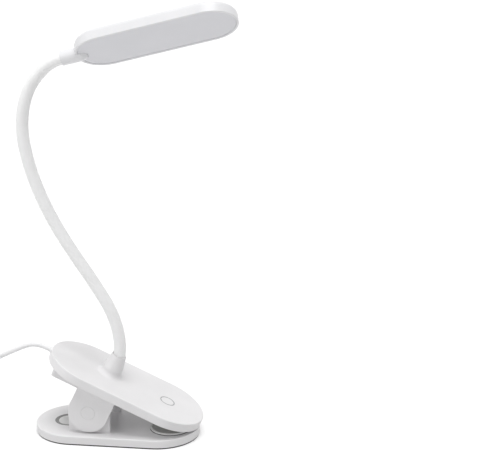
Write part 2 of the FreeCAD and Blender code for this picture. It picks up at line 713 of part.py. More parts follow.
def upper_cover():
    cover = stadium(JAW_LENGTH, JAW_WIDTH, -UPPER_HEIGHT, 0)
    cover = cover.makeFillet(EDGE_ROUND, edges_at_height(cover, 0))
    cover = cover.cut(stadium(INNER_LENGTH, INNER_WIDTH, -UPPER_HEIGHT, -UPPER_ROOF))
    cover = cover.fuse(collar())
    for x, y in UPPER_SCREWS:
        cover = cover.fuse(rod(BOSS_R, V(x, y, UPPER_PLATE_Z), V(x, y, -UPPER_ROOF)))
    cover = cover.removeSplitter().cut(collar_bore())
    cover = cover.cut(rod(CORE_R + NECK_FIT, V(NECK_FOOT_X, 0, -UPPER_ROOF), V(NECK_FOOT_X, 0, 1)))
    low = V(RING_X, 0, -RING_DEPTH)
    high = V(RING_X, 0, 1)
    groove = rod(RING_R + RING_FIT, low, high)
    cover = cover.cut(groove.cut(rod(RING_R - RING_WIDTH - RING_FIT, low, high)))
    for x, y in UPPER_SCREWS:
        cover = cover.cut(screw_hole(x, y, UPPER_PLATE_Z, -HOLE_ROOF))
    outside = V(UPPER_BACK - 1, 0, -LEAD_DEPTH)
    wall = V(UPPER_BACK + WALL, 0, -LEAD_DEPTH)
    hole = rod(GROMMET_R + RING_FIT, outside, wall)
    room = rod(GROMMET_FLANGE_R + PAD_FIT, wall, wall + X_AXIS * GROMMET_ROOM)
    return cover.cut(hole).cut(room)


def upper_base_plate():
    plate = stadium(INNER_LENGTH - 2 * SEAM, INNER_WIDTH - 2 * SEAM, -UPPER_HEIGHT, UPPER_PLATE_Z)
    housing = box(HOUSING_BACK, HOUSING_FRONT, -HOUSING_HALF, HOUSING_HALF,
                  -HOUSING_DEPTH, -UPPER_HEIGHT)
    corners = [e for e in housing.Edges if abs(e.Vertexes[0].Z - e.Vertexes[1].Z) > 1]
    housing = housing.makeFillet(HOUSING_CORNER, corners)
    room = box(HOUSING_BACK + HOUSING_WALL, HOUSING_FRONT - HOUSING_WALL,
               -HOUSING_HALF + HOUSING_WALL, HOUSING_HALF - HOUSING_WALL,
               -HOUSING_DEPTH + HOUSING_WALL, UPPER_PLATE_Z)
    plate = plate.fuse(housing)
    pivot = PIVOT_ON_UPPER
    for side in (-1, 1):
        y_in = side * EAR_IN
        y_out = side * EAR_OUT
        tongue = box(pivot.x - EAR_R, pivot.x + EAR_R, min(y_in, y_out), max(y_in, y_out),
                     pivot.z, UPPER_PLATE_Z)
        end = rod(EAR_R, V(pivot.x, y_in, pivot.z), V(pivot.x, y_out, pivot.z))
        plate = plate.fuse(tongue.fuse(end))
    for x, y in BOARD_SCREWS + FRONT_POSTS:
        plate = plate.fuse(rod(POST_R, V(x, y, UPPER_PLATE_Z), V(x, y, UPPER_PLATE_Z + BOARD_RISE)))
    plate = plate.removeSplitter().cut(room)
    for side in (-1, 1):
        bore = rod(PIN_R + PIN_FIT, V(pivot.x, side * (EAR_IN - 1), pivot.z),
                   V(pivot.x, side * (EAR_OUT + 1), pivot.z))
        seat = rod(CAP_R + RING_FIT, V(pivot.x, side * (EAR_OUT - CAP_THICK), pivot.z),
                   V(pivot.x, side * (EAR_OUT + 1), pivot.z))
        plate = plate.cut(bore).cut(seat)
    for x, y in UPPER_SCREWS:
        plate = plate.cut(screw_hole(x, y, -UPPER_HEIGHT, UPPER_PLATE_Z))
        plate = plate.cut(rod(SCREW_HEAD_R + PAD_FIT, V(x, y, -UPPER_HEIGHT),
                              V(x, y, -UPPER_HEIGHT + SCREW_HEAD)))
    for x, y in BOARD_SCREWS:
        plate = plate.cut(screw_hole(x, y, BOARD_TOP - SHORT_SCREW - PAD_FIT, BOARD_TOP))
    back = V(UPPER_BACK, 0, -LEAD_DEPTH)
    return plate.cut(rod(GROMMET_FLANGE_R + PAD_FIT, back, back + X_AXIS * (WALL + GROMMET_ROOM)))


def hinge_caps():
    caps = []
    for side in (-1, 1):
        start = V(PIVOT_X, side * (EAR_OUT - CAP_THICK), PIVOT_Z)
        caps.append(rod(CAP_R, start, start + Y_AXIS * side * CAP_THICK))
    return compound(caps)


def upper_grip_pad():
    under = -UPPER_HEIGHT - UPPER_GRIP_THICK
    pad = Part.makeCylinder(UPPER_GRIP_R, UPPER_GRIP_THICK, V(UPPER_GRIP_X, 0, under))
    return pad.makeFillet(PAD_ROUND, edges_at_height(pad, under))


def touch_ring():
    low = V(RING_X, 0, -RING_DEPTH)
    high = V(RING_X, 0, RING_PROUD)
    return rod(RING_R, low, high).cut(rod(RING_R - RING_WIDTH, low, high))


def touch_electrode():
    """Copper disc under the cover and the spring post that joins it to the board."""
    under = V(RING_X, 0, -UPPER_ROOF - ELECTRODE_THICK)
    disc = rod(ELECTRODE_R, under, V(RING_X, 0, -UPPER_ROOF))
    return disc.fuse(rod(CONTACT_R, V(RING_X, 0, BOARD_TOP), under)).removeSplitter()


def control_board():
    half = BOARD_WIDTH / 2
    under = BOARD_TOP - BOARD_THICK
    board = box(BOARD_X0, BOARD_X1, -half, half, under, BOARD_TOP)
    for x, y in BOARD_SCREWS:
        board = board.cut(screw_hole(x, y, under, BOARD_TOP))
    return board


def board_components():
    """Touch chip, driver chip, coil, capacitors and resistors on the board."""
    places = list(CHIPS)
    for first, y, count in SMALL_ROWS:
        places += [(first + SMALL_PITCH * i, y) + SMALL_CHIP for i in range(count)]
    parts = []
    for x, y, length, width, height in places:
        parts.append(box(x - length / 2, x + length / 2, y - width / 2, y + width / 2,
                         BOARD_TOP, BOARD_TOP + height))
    return compound(parts)


def neck_nut():
    """Hexagon nut that clamps the neck's steel core under the cover."""
    r = NUT_FLATS / 2 / math.cos(math.radians(30))
    top = -UPPER_ROOF
    corners = []
    for i in range(7):
        a = math.radians(60 * i + 30)
        corners.append(V(NECK_FOOT_X + r * math.cos(a), r * math.sin(a), top))
    nut = Part.Face(Part.makePolygon(corners)).extrude(V(0, 0, -NUT_THICK))
    middle = V(NECK_FOOT_X, 0, top)
    return nut.cut(rod(CORE_R + PIN_FIT, middle, middle - Z_AXIS * NUT_THICK))


def lead_grommet():
    start = V(UPPER_BACK - GROMMET_PROUD, 0, -LEAD_DEPTH)
    end = V(UPPER_BACK + WALL + GROMMET_FLANGE, 0, -LEAD_DEPTH)
    flange = rod(GROMMET_FLANGE_R, end - X_AXIS * GROMMET_FLANGE, end)
    return rod(GROMMET_R, start, end).fuse(flange).removeSplitter().cut(rod(LEAD_R, start, end))


def lead_inside():
    """The lead's jacket inside the grommet, and its two wires on to the board."""
    start = V(UPPER_BACK - GROMMET_PROUD + JACKET_GAP, 0, -LEAD_DEPTH)
    end = V(UPPER_BACK + WALL + GROMMET_FLANGE, 0, -LEAD_DEPTH)
    low = -HOUSING_DEPTH + HOUSING_WALL + WIRE_FROM_WALL
    gap_x = HOUSING_FRONT - HOUSING_WALL - WIRE_FROM_WALL
    over = BOARD_TOP + INNER_WIRE_R + WIRE_LIE
    solids = [rod(LEAD_R - RING_FIT, start, end)]
    for start_y, y in INNER_WIRES:
        route = [
            V(end.x, start_y, end.z),
            V(end.x + INNER_RUN, start_y, end.z),
            V(end.x + 2 * INNER_RUN, y, low),
            V(gap_x, y, low),
            V(gap_x, y, over),
            V(BOARD_X0 + WIRE_ON_BOARD, y, over),
        ]
        solids.append(wire(route, INNER_WIRE_R))
    return compound(solids)


def make_upper_jaw():
    seat_z = -UPPER_HEIGHT + SCREW_HEAD
    screws = [screw(x, y, seat_z, 1) for x, y in UPPER_SCREWS]
    screws += [screw(x, y, BOARD_TOP, -1, SHORT_SCREW) for x, y in BOARD_SCREWS]
    write("upper_cover", on_upper(upper_cover()))
    write("upper_base_plate", on_upper(upper_base_plate()))
    write("upper_grip_pad", on_upper(upper_grip_pad()))
    write("touch_ring", on_upper(touch_ring()))
    write("touch_electrode", on_upper(touch_electrode()))
    write("control_board", on_upper(control_board()))
    write("board_components", on_upper(board_components()))
    write("upper_screws", on_upper(compound(screws)))
    write("neck_nut", on_upper(neck_nut()))
    write("lead_grommet", on_upper(lead_grommet()))
    write("lead_inside", on_upper(lead_inside()))
    write("hinge_caps", hinge_caps())


# ---------------------------------------------------------------- head

def socket_envelope(clearance):
    """The neck socket's outer shape, grown by a clearance."""
    x0 = SOCKET_START.x
    tip = -HEAD_LENGTH / 2 + SOCKET_IN + clearance
    r = SOCKET_R + clearance
    nose = tip - SOCKET_NOSE - clearance
    z = SOCKET_RISE
    a = math.radians(45)
    outline = [
        Part.LineSegment(V(x0, 0, z), V(x0, 0, z + r)),
        Part.LineSegment(V(x0, 0, z + r), V(nose, 0, z + r)),
        Part.Arc(V(nose, 0, z + r),
                 V(nose + (tip - nose) * math.sin(a), 0, z + r * math.cos(a)),
                 V(tip, 0, z)),
        Part.LineSegment(V(tip, 0, z), V(x0, 0, z)),
    ]
    return turned(outline, V(0, 0, z), V(1, 0, z))


def neck_socket():
    x0 = SOCKET_START.x
    z = SOCKET_RISE
    socket = socket_envelope(0)
    socket = socket.cut(rod(SLEEVE_R + NECK_FIT, V(x0 - 1, 0, z), V(x0 + SOCKET_BORE_DEPTH, 0, z)))
    socket = socket.cut(rod(CORE_R + NECK_FIT, V(x0 - 1, 0, z), V(x0 + CORE_DEPTH, 0, z)))
    width, depth = WIRE_CHANNEL
    channel = box(x0 + CORE_DEPTH - 1, -HEAD_LENGTH / 2 + SOCKET_IN + 1, -width / 2, width / 2,
                  z - depth, z + SOCKET_R)
    return socket.cut(channel)


def head_cover():
    cover = stadium(HEAD_LENGTH, HEAD_WIDTH, 0, HEAD_HEIGHT)
    cover = cover.makeFillet(HEAD_ROUND, edges_at_height(cover, HEAD_HEIGHT))
    lens_top = DIFFUSER_RECESS + DIFFUSER_THICK
    rim = stadium(HEAD_LENGTH - 2 * RIM_WIDTH, HEAD_WIDTH - 2 * RIM_WIDTH, 0, lens_top)
    ceiling = HEAD_HEIGHT - HEAD_ROOF
    inner = stadium(HEAD_LENGTH - 2 * HEAD_WALL, HEAD_WIDTH - 2 * HEAD_WALL, 0, ceiling)
    cover = cover.cut(rim).cut(inner)
    for x in HEAD_SCREWS:
        cover = cover.fuse(rod(BOSS_R, V(x, 0, LED_BOARD_TOP), V(x, 0, ceiling)))
    cover = cover.removeSplitter()
    for x in HEAD_SCREWS:
        cover = cover.cut(screw_hole(x, 0, LED_BOARD_TOP, HEAD_HEIGHT - HOLE_ROOF))
    return cover.cut(socket_envelope(PIN_FIT))


def head_diffuser():
    gap = RIM_WIDTH + SEAM
    plate = stadium(HEAD_LENGTH - 2 * gap, HEAD_WIDTH - 2 * gap,
                    DIFFUSER_RECESS, DIFFUSER_RECESS + DIFFUSER_THICK)
    return plate.cut(socket_envelope(PAD_FIT))


def led_board():
    half = LED_BOARD_WIDTH / 2
    board = box(LED_BOARD_X[0], LED_BOARD_X[1], -half, half, LED_BOARD_Z, LED_BOARD_TOP)
    for x in HEAD_SCREWS:
        board = board.cut(screw_hole(x, 0, LED_BOARD_Z, LED_BOARD_TOP))
    return board


def led_places():
    first = LED_BOARD_X[0] + LED_END
    last = LED_BOARD_X[1] - LED_END
    step = (last - first) / (LED_COUNT - 1)
    return [(first + i * step, y) for i in range(LED_COUNT) for y in (-LED_ROW_Y, LED_ROW_Y)]


def led_block(x, y, grow):
    length, width, height = LED_SIZE
    return box(x - length / 2 - grow, x + length / 2 + grow,
               y - width / 2 - grow, y + width / 2 + grow, LED_BOARD_Z - height, LED_BOARD_Z)


def reflector():
    """White film on the board with a window for each LED."""
    top = LED_BOARD_Z
    under = top - REFLECTOR_THICK
    half = LED_BOARD_WIDTH / 2
    film = box(LED_BOARD_X[0] + REFLECTOR_MARGIN, LED_BOARD_X[1], -half, half, under, top)
    for x, y in led_places():
        film = film.cut(led_block(x, y, REFLECTOR_MARGIN))
    for x in HEAD_SCREWS:
        film = film.cut(rod(SCREW_HEAD_R + REFLECTOR_MARGIN, V(x, 0, under), V(x, 0, top)))
    length, width = WIRE_WINDOW
    return film.cut(box(LED_BOARD_X[0], LED_BOARD_X[0] + length, -width / 2, width / 2, under, top))


def make_head():
    write("head_cover", on_head(head_cover()))
    write("head_diffuser", on_head(head_diffuser()))
    write("neck_socket", on_head(neck_socket()))
    write("led_board", on_head(led_board()))
    write("leds", on_head(compound([led_block(x, y, 0) for x, y in led_places()])))
    write("reflector", on_head(reflector()))
    screws = [screw(x, 0, LED_BOARD_Z, 1, SHORT_SCREW) for x in HEAD_SCREWS]
    write("head_screws", on_head(compound(screws)))


# ---------------------------------------------------------------- USB lead

def checked_tube(name, points, radius):
    """Tube with its bend radii and its volume against section times length."""
    solid, radii, length = tube(points, radius)
    ideal = math.pi * radius ** 2 * length
    print(name, "length %.1f" % length, "radii", ["%.1f" % r for r in radii],
          "volume ratio %.4f" % (solid.Volume / ideal))
    return solid


def lead_coil():
    inner = COIL_MEAN_R - 2 * LEAD_R
    outer = COIL_MEAN_R + 2 * LEAD_R
    base = V(COIL_X, COIL_Y, COIL_RISE)
    top = base + Z_AXIS * (2 * LEAD_R * COIL_LAYERS)
    return rod(outer, base, top).cut(rod(inner, base, top))


def lead_tie():
    """Flat band round the bundle, at the side of the coil that faces +X."""
    half = TIE_WIDTH / 2
    coil_in = COIL_MEAN_R - 2 * LEAD_R
    inner = COIL_X + math.sqrt(coil_in ** 2 - half ** 2) - TIE_SLACK
    outer = COIL_X + COIL_MEAN_R + 2 * LEAD_R + TIE_SLACK
    top = COIL_RISE + 2 * LEAD_R * COIL_LAYERS + TIE_SLACK
    band = box(inner - TIE_THICK, outer + TIE_THICK, COIL_Y - half, COIL_Y + half, 0, top + TIE_THICK)
    return band.cut(box(inner, outer, COIL_Y - half, COIL_Y + half, TIE_THICK, top))


def plug_parts():
    """Moulded USB-A plug and its metal shell, lying along +X."""
    end = TAIL_POINTS[-1]
    length, width, thick = PLUG_BODY
    y = end.y
    z = end.z
    back = end.x + PLUG_RELIEF
    body = box(back, back + length, y - width / 2, y + width / 2, z - thick / 2, z + thick / 2)
    sides = [e for e in body.Edges if abs(e.Vertexes[0].X - e.Vertexes[1].X) > 1]
    body = body.makeFillet(PLUG_ROUND, sides)
    thin, thick_end = RELIEF_WALL
    relief = Part.makeCone(LEAD_R + thin, LEAD_R + thick_end, PLUG_RELIEF, end, X_AXIS)
    body = body.fuse(relief).removeSplitter()
    front = back + length
    s_len, s_width, s_thick = PLUG_SHELL
    w = PLUG_SHELL_WALL
    shell = box(front, front + s_len, y - s_width / 2, y + s_width / 2, z - s_thick / 2, z + s_thick / 2)
    shell = shell.cut(box(front + w, front + s_len, y - s_width / 2 + w, y + s_width / 2 - w,
                          z - s_thick / 2 + w, z + s_thick / 2 - w))
    return body, shell


def make_lead():
    exit_point = UPPER_PLACE.multVec(V(UPPER_BACK - GROMMET_PROUD, 0, -LEAD_DEPTH))
    straight_end = exit_point - ALONG * LEAD_STRAIGHT
    main = checked_tube("lead", [exit_point, straight_end] + LEAD_POINTS, LEAD_R)
    tail = checked_tube("lead end", TAIL_POINTS, LEAD_R)
    write("usb_lead", compound([main, tail]))
    write("usb_lead_coil", lead_coil())
    write("lead_tie", lead_tie())
    body, shell = plug_parts()
    write("usb_plug_body", body)
    write("usb_plug_shell", shell)


# ---------------------------------------------------------------- build

make_lower_jaw()
make_upper_jaw()
make_neck_foot()
make_links()
make_neck_top()
make_head()
make_lead()

print("upper jaw origin", UPPER_ORIGIN)
print("pivot on upper jaw", PIVOT_ON_UPPER)
for index, arc in enumerate(ARCS[1:], 1):
    print("neck joint %d at" % index, arc.start, "heading %.1f" % arc.heading)
print("neck end", NECK_END, "head place", HEAD_PLACE)
print("lead exit", UPPER_PLACE.multVec(V(UPPER_BACK - GROMMET_PROUD, 0, -LEAD_DEPTH)))
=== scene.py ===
import json
import math

import bmesh
import bpy
from mathutils import Matrix, Vector
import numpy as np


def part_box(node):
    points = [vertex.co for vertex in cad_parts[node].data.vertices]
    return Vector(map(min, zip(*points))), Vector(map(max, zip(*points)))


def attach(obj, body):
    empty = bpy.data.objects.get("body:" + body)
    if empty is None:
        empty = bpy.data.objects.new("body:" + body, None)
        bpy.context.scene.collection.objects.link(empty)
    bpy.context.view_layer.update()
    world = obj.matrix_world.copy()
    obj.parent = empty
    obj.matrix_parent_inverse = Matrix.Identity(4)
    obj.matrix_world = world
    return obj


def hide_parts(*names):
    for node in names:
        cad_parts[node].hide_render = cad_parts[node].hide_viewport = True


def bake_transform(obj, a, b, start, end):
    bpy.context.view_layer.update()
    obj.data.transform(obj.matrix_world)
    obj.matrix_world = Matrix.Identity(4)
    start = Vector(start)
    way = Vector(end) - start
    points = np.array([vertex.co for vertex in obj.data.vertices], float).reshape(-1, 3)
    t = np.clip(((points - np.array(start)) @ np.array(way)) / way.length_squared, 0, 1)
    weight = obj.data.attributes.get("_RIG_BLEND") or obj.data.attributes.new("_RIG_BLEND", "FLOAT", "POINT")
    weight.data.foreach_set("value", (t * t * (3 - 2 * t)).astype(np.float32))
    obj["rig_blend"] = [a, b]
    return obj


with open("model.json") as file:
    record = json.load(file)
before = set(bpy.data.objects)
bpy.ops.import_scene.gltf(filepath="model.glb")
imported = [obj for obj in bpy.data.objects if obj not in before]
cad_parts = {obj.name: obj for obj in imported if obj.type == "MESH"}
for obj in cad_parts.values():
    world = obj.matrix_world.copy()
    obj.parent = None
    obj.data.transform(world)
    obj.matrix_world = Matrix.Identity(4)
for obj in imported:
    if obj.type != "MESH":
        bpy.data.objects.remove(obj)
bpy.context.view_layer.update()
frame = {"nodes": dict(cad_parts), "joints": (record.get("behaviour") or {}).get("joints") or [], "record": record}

MM = 0.001

# ---- sizes shared by several pieces, in metres ----
JAW_LENGTH = 120 * MM
JAW_ANGLE = math.radians(25)
JAW_RISE = 6.8 * MM             # top face of the lower jaw
TIP_GAP = 0.3 * MM
UPPER_THICK = 6.7 * MM
SLEEVE_R = 4.4 * MM
SLEEVE_WALL = 1.2 * MM
SLEEVE_BEND = 10 * MM           # each side of a joint, the length over which the sleeve bends
NECK_STRAIGHT = 4.7 * MM
STUB_LENGTH = 22.5 * MM
HEAD_ARC = (12.0 * MM, math.radians(-24))
HEAD_ROLL = math.radians(36.2)
HEAD_LENGTH = 115 * MM
HEAD_HEIGHT = 8.8 * MM
SOCKET_RISE = 2.5 * MM
SOCKET_OUT = 10.5 * MM
SOCKET_BORE = 6.9 * MM
LEAD_R = 1.8 * MM

# ---- camera ----
AIM = Vector((0.0934, 0.0, 0.1544))
AZIMUTH = math.radians(7.95)
ELEVATION = math.radians(17.154)
DISTANCE = 1.154
ROLL = math.radians(0.28)
LENS_MM = 122.4


# ---------------------------------------------------------------- camera, room and lamps

def place_camera():
    """Long lens, a little to the right of the lamp and above it."""
    data = bpy.data.cameras.new("camera")
    data.lens = LENS_MM
    data.sensor_width = 36
    camera = bpy.data.objects.new("camera", data)
    bpy.context.scene.collection.objects.link(camera)
    back = Vector((math.sin(AZIMUTH) * math.cos(ELEVATION),
                   -math.cos(AZIMUTH) * math.cos(ELEVATION), math.sin(ELEVATION)))
    level = (-back).to_track_quat("-Z", "Y").to_matrix().to_4x4()
    camera.matrix_world = (Matrix.Translation(AIM + back * DISTANCE) @ level
                           @ Matrix.Rotation(-ROLL, 4, "Z"))
    bpy.context.scene.camera = camera


def to_linear(colour):
    """A hex sRGB colour as linear red, green, blue and alpha."""
    values = [int(colour[i:i + 2], 16) / 255 for i in (1, 3, 5)]
    return [v / 12.92 if v <= 0.04045 else ((v + 0.055) / 1.055) ** 2.4 for v in values] + [1.0]


def add(tree, kind, settings=(), **inputs):
    """Adds a node with its settings and links; a link is an output socket of another node."""
    node = tree.nodes.new(kind)
    for name, value in dict(settings).items():
        setattr(node, name, value)
    for name, value in inputs.items():
        socket = node.inputs[int(name[1:])] if name[0] == "n" and name[1:].isdigit() \
            else node.inputs[name.replace("_", " ")]
        if isinstance(value, bpy.types.NodeSocket):
            tree.links.new(value, socket)
        else:
            socket.default_value = value
    return node


def seen_plainly(tree):
    """1 for what the camera sees, in a reflection or through glass too, and 0 for what lights."""
    path = add(tree, "ShaderNodeLightPath")
    mirrored = add(tree, "ShaderNodeMath", {"operation": "MAXIMUM"},
                   n0=path.outputs["Is Camera Ray"], n1=path.outputs["Is Glossy Ray"])
    through = add(tree, "ShaderNodeMath", {"operation": "MAXIMUM"},
                  n0=mirrored.outputs[0], n1=path.outputs["Is Transmission Ray"])
    return through.outputs[0]


def make_room():
    """White sweep under the lamp and a white surround; both look white, the floor keeps shadows."""
    world = bpy.data.worlds.new("studio")
    bpy.context.scene.world = world
    world.use_nodes = True
    tree = world.node_tree
    tree.nodes.clear()
    direct = seen_plainly(tree)
    lit = add(tree, "ShaderNodeBackground", Color=to_linear("#ffffff"), Strength=0.4)
    shown = add(tree, "ShaderNodeBackground", Color=to_linear("#ffffff"), Strength=1.0)
    mix = add(tree, "ShaderNodeMixShader", n0=direct, n1=lit.outputs[0], n2=shown.outputs[0])
    add(tree, "ShaderNodeOutputWorld", Surface=mix.outputs[0])

    floor_material = bpy.data.materials.new("white_paper_sweep")
    floor_material.use_nodes = True
    tree = floor_material.node_tree
    tree.nodes.clear()
    paper = add(tree, "ShaderNodeBsdfDiffuse", Color=to_linear("#d8d8d8"))
    lift = add(tree, "ShaderNodeMath", {"operation": "MULTIPLY"}, n0=seen_plainly(tree), n1=0.35)
    glow = add(tree, "ShaderNodeEmission", Color=to_linear("#ffffff"), Strength=lift.outputs[0])
    both = add(tree, "ShaderNodeAddShader", n0=paper.outputs[0], n1=glow.outputs[0])
    add(tree, "ShaderNodeOutputMaterial", Surface=both.outputs[0])
    size = 6.0
    mesh = bpy.data.meshes.new("floor")
    corners = [(-size, -size, 0), (size, -size, 0), (size, size, 0), (-size, size, 0)]
    mesh.from_pydata(corners, [], [(0, 1, 2, 3)])
    mesh.materials.append(floor_material)
    floor = bpy.data.objects.new("floor", mesh)
    bpy.context.scene.collection.objects.link(floor)


def softbox(name, place, size, power):
    """Square softbox that faces the middle of the lamp."""
    data = bpy.data.lights.new(name, "AREA")
    data.shape = "SQUARE"
    data.size = size
    data.energy = power
    lamp = bpy.data.objects.new(name, data)
    bpy.context.scene.collection.objects.link(lamp)
    lamp.location = place
    lamp.rotation_mode = "QUATERNION"
    lamp.rotation_quaternion = (Vector((0, 0, 0.15)) - Vector(place)).to_track_quat("-Z", "Y")


def ceiling(toward, strength, spread):
    """Broad light from a bright ceiling, the same all over the floor."""
    data = bpy.data.lights.new("ceiling", "SUN")
    data.energy = strength
    data.angle = math.radians(spread)
    lamp = bpy.data.objects.new("ceiling", data)
    bpy.context.scene.collection.objects.link(lamp)
    lamp.rotation_mode = "QUATERNION"
    lamp.rotation_quaternion = Vector(toward).to_track_quat("Z", "Y")


def light_room():
    ceiling((0.1, -0.13, 1.0), 2.22, 45)
    softbox("fill", (-1.1, -0.8, 0.8), 1.0, 5.0)


# ---------------------------------------------------------------- materials

def new_material(name):
    material = bpy.data.materials.new(name)
    material.use_nodes = True
    material.node_tree.nodes.clear()
    return material, material.node_tree


def finish_material(tree, shader):
    add(tree, "ShaderNodeOutputMaterial", Surface=shader.outputs[0])


def per_mm(size):
    """Noise scale that gives features of this size in millimetres."""
    return 1.0 / (size * MM)


def mottled(tree, place, size, low, high):
    """Two close shades laid out by soft noise: the slight unevenness of a real surface."""
    noise = add(tree, "ShaderNodeTexNoise", Vector=place, Scale=per_mm(size), Detail=3.0)
    ramp = add(tree, "ShaderNodeValToRGB", Fac=noise.outputs["Fac"])
    ramp.color_ramp.elements[0].position = 0.3
    ramp.color_ramp.elements[1].position = 0.7
    ramp.color_ramp.elements[0].color = to_linear(low)
    ramp.color_ramp.elements[1].color = to_linear(high)
    return ramp.outputs["Color"]


def grain(tree, place, size, depth, detail=2.0):
    """Bump of a fine moulded or ground texture; size and depth in millimetres."""
    noise = add(tree, "ShaderNodeTexNoise", Vector=place, Scale=per_mm(size), Detail=detail)
    bump = add(tree, "ShaderNodeBump", Strength=1.0, Distance=depth * MM,
               Height=noise.outputs["Fac"])
    return bump.outputs["Normal"]


def plastic(name, low, high, patch, roughness, texture, **more):
    """Moulded plastic or rubber: two close shades, one roughness and a fine texture."""
    material, tree = new_material(name)
    place = add(tree, "ShaderNodeTexCoord").outputs["Object"]
    shader = add(tree, "ShaderNodeBsdfPrincipled", Roughness=roughness,
                 Base_Color=mottled(tree, place, patch, low, high),
                 Normal=grain(tree, place, *texture), **more)
    finish_material(tree, shader)
    return material


def metal(name, low, high, patch, roughness, texture):
    """Plated or drawn metal; roughness wanders a little with handling."""
    material, tree = new_material(name)
    place = add(tree, "ShaderNodeTexCoord").outputs["Object"]
    noise = add(tree, "ShaderNodeTexNoise", Vector=place, Scale=per_mm(patch), Detail=4.0)
    spread = add(tree, "ShaderNodeMapRange", Value=noise.outputs["Fac"], To_Min=roughness * 0.75,
                 To_Max=roughness * 1.3)
    shader = add(tree, "ShaderNodeBsdfPrincipled", Metallic=1.0,
                 Base_Color=mottled(tree, place, patch, low, high),
                 Roughness=spread.outputs["Result"], Normal=grain(tree, place, *texture))
    finish_material(tree, shader)
    return material


def white_abs():
    """Injection-moulded white ABS with a fine spark-eroded texture: satin, never mirror-like."""
    return plastic("white_abs_moulded", "#e3e2e3", "#e7e6e7", 22, 0.42, (0.45, 0.012), IOR=1.54)


def head_abs():
    """The head's ABS comes from a polished mould, so it is whiter and a little glossier."""
    return plastic("white_abs_polished", "#e4e4e6", "#e8e8ea", 30, 0.34, (0.6, 0.006), IOR=1.54)


def silicone_sleeve():
    """Extruded white silicone: matte, faintly see-through, with a dusty sheen at its edges."""
    return plastic("white_silicone_extruded", "#f5f5f5", "#f9f9f9", 14, 0.5, (0.8, 0.012), IOR=1.41,
                   Subsurface_Weight=0.12, Subsurface_Radius=(1 * MM, 1 * MM, 1 * MM),
                   Subsurface_Scale=1.0, Sheen_Weight=0.15, Sheen_Roughness=0.5)


def silicone_pad(low, high):
    """Moulded silicone pad: translucent and softer than the shells."""
    return plastic("silicone_pad_moulded", low, high, 8, 0.5, (0.5, 0.01), IOR=1.41,
                   Subsurface_Weight=0.2, Subsurface_Radius=(1 * MM, 1 * MM, 1 * MM),
                   Subsurface_Scale=1.0)


def front_pad_silicone():
    """Light silicone of the front pad's rim, with painted shade along its foot: dark grey where the seam with the
    shell lies in shadow.
    """
    material, tree = new_material("front_pad_silicone")
    place = add(tree, "ShaderNodeTexCoord").outputs["Object"]
    height = add(tree, "ShaderNodeSeparateXYZ", Vector=place).outputs["Z"]
    # painted shade: the rim is dark grey up to 0.35 mm above the shell's top face and fades to its light silicone
    # by 0.6 mm, standing in for the seam's shadow
    foot = add(tree, "ShaderNodeMapRange", Value=height, From_Min=JAW_RISE + 0.35 * MM,
               From_Max=JAW_RISE + 0.6 * MM)
    shade = add(tree, "ShaderNodeMix", {"data_type": "RGBA"}, n0=foot.outputs["Result"],
                n6=to_linear("#5f5e5d"), n7=mottled(tree, place, 8, "#dcdcdb", "#e4e4e3"))
    shader = add(tree, "ShaderNodeBsdfPrincipled", Roughness=0.5, IOR=1.41,
                 Base_Color=shade.outputs[2], Normal=grain(tree, place, 0.5, 0.01))
    finish_material(tree, shader)
    return material


def grip_face_silicone():
    """Grey translucent silicone of the gripping face, ground matte so that it holds. Its grey is partly its own
    colour and partly painted shade: the shadow and dark reflection of the upper jaw above it.
    """
    return plastic("grip_face_silicone", "#969694", "#a09f9d", 6, 0.55, (0.5, 0.02), IOR=1.41,
                   Subsurface_Weight=0.15, Subsurface_Radius=(1 * MM, 1 * MM, 1 * MM),
                   Subsurface_Scale=1.0)


def ring_silicone():
    """Grey silicone ring round the rear pad, smooth where it slopes into the recess; its dark grey is painted
    shade, the shadow of the recess's wall laid on the slope.
    """
    return plastic("ring_silicone", "#80807f", "#8d8d8b", 4, 0.4, (0.5, 0.008), IOR=1.41)


def sole_rubber():
    """Black non-slip rubber sheet with a fine leathery surface."""
    return plastic("black_rubber_sheet", "#1c1c1d", "#262627", 5, 0.78, (0.9, 0.05), IOR=1.52)


def lead_jacket():
    """Soft white PVC jacket: a low, waxy shine."""
    return plastic("white_pvc_jacket", "#ebebec", "#f1f1f2", 12, 0.36, (0.5, 0.006), IOR=1.53,
                   Subsurface_Weight=0.08, Subsurface_Radius=(1 * MM, 1 * MM, 1 * MM),
                   Subsurface_Scale=1.0)


def opal_diffuser():
    """Opal polycarbonate, unlit: cool grey-white, finely frosted on its outer face."""
    return plastic("opal_polycarbonate", "#dfdfe3", "#e3e3e7", 40, 0.5, (0.35, 0.012), IOR=1.58,
                   Subsurface_Weight=0.25, Subsurface_Radius=(2 * MM, 2 * MM, 2 * MM),
                   Subsurface_Scale=1.0)


def ring_plastic():
    """Grey translucent light guide round the touch spot."""
    return plastic("grey_light_guide", "#98989b", "#a4a4a6", 3, 0.3, (0.4, 0.004), IOR=1.49,
                   Subsurface_Weight=0.1, Subsurface_Radius=(1 * MM, 1 * MM, 1 * MM),
                   Subsurface_Scale=1.0)


def zinc_steel():
    """Zinc-plated steel of screws, pin, nut and the neck's core: bright grey, slightly blue."""
    return metal("zinc_plated_steel", "#a9acb0", "#bcbfc2", 2, 0.3, (0.3, 0.004))


def spring_wire():
    """Drawn and oiled spring steel: darker, with soft streaks."""
    return metal("spring_steel_wire", "#6f7072", "#858688", 3, 0.32, (0.25, 0.006))


def nickel_shell():
    """Nickel-plated steel sheet of the plug's shell."""
    return metal("nickel_plated_sheet", "#c3c2be", "#d0cfcb", 6, 0.2, (0.4, 0.002))


def gold_contact():
    """Gold flash on the plug's contacts."""
    return metal("gold_plated_contact", "#d9b25e", "#e4c074", 2, 0.22, (0.3, 0.002))


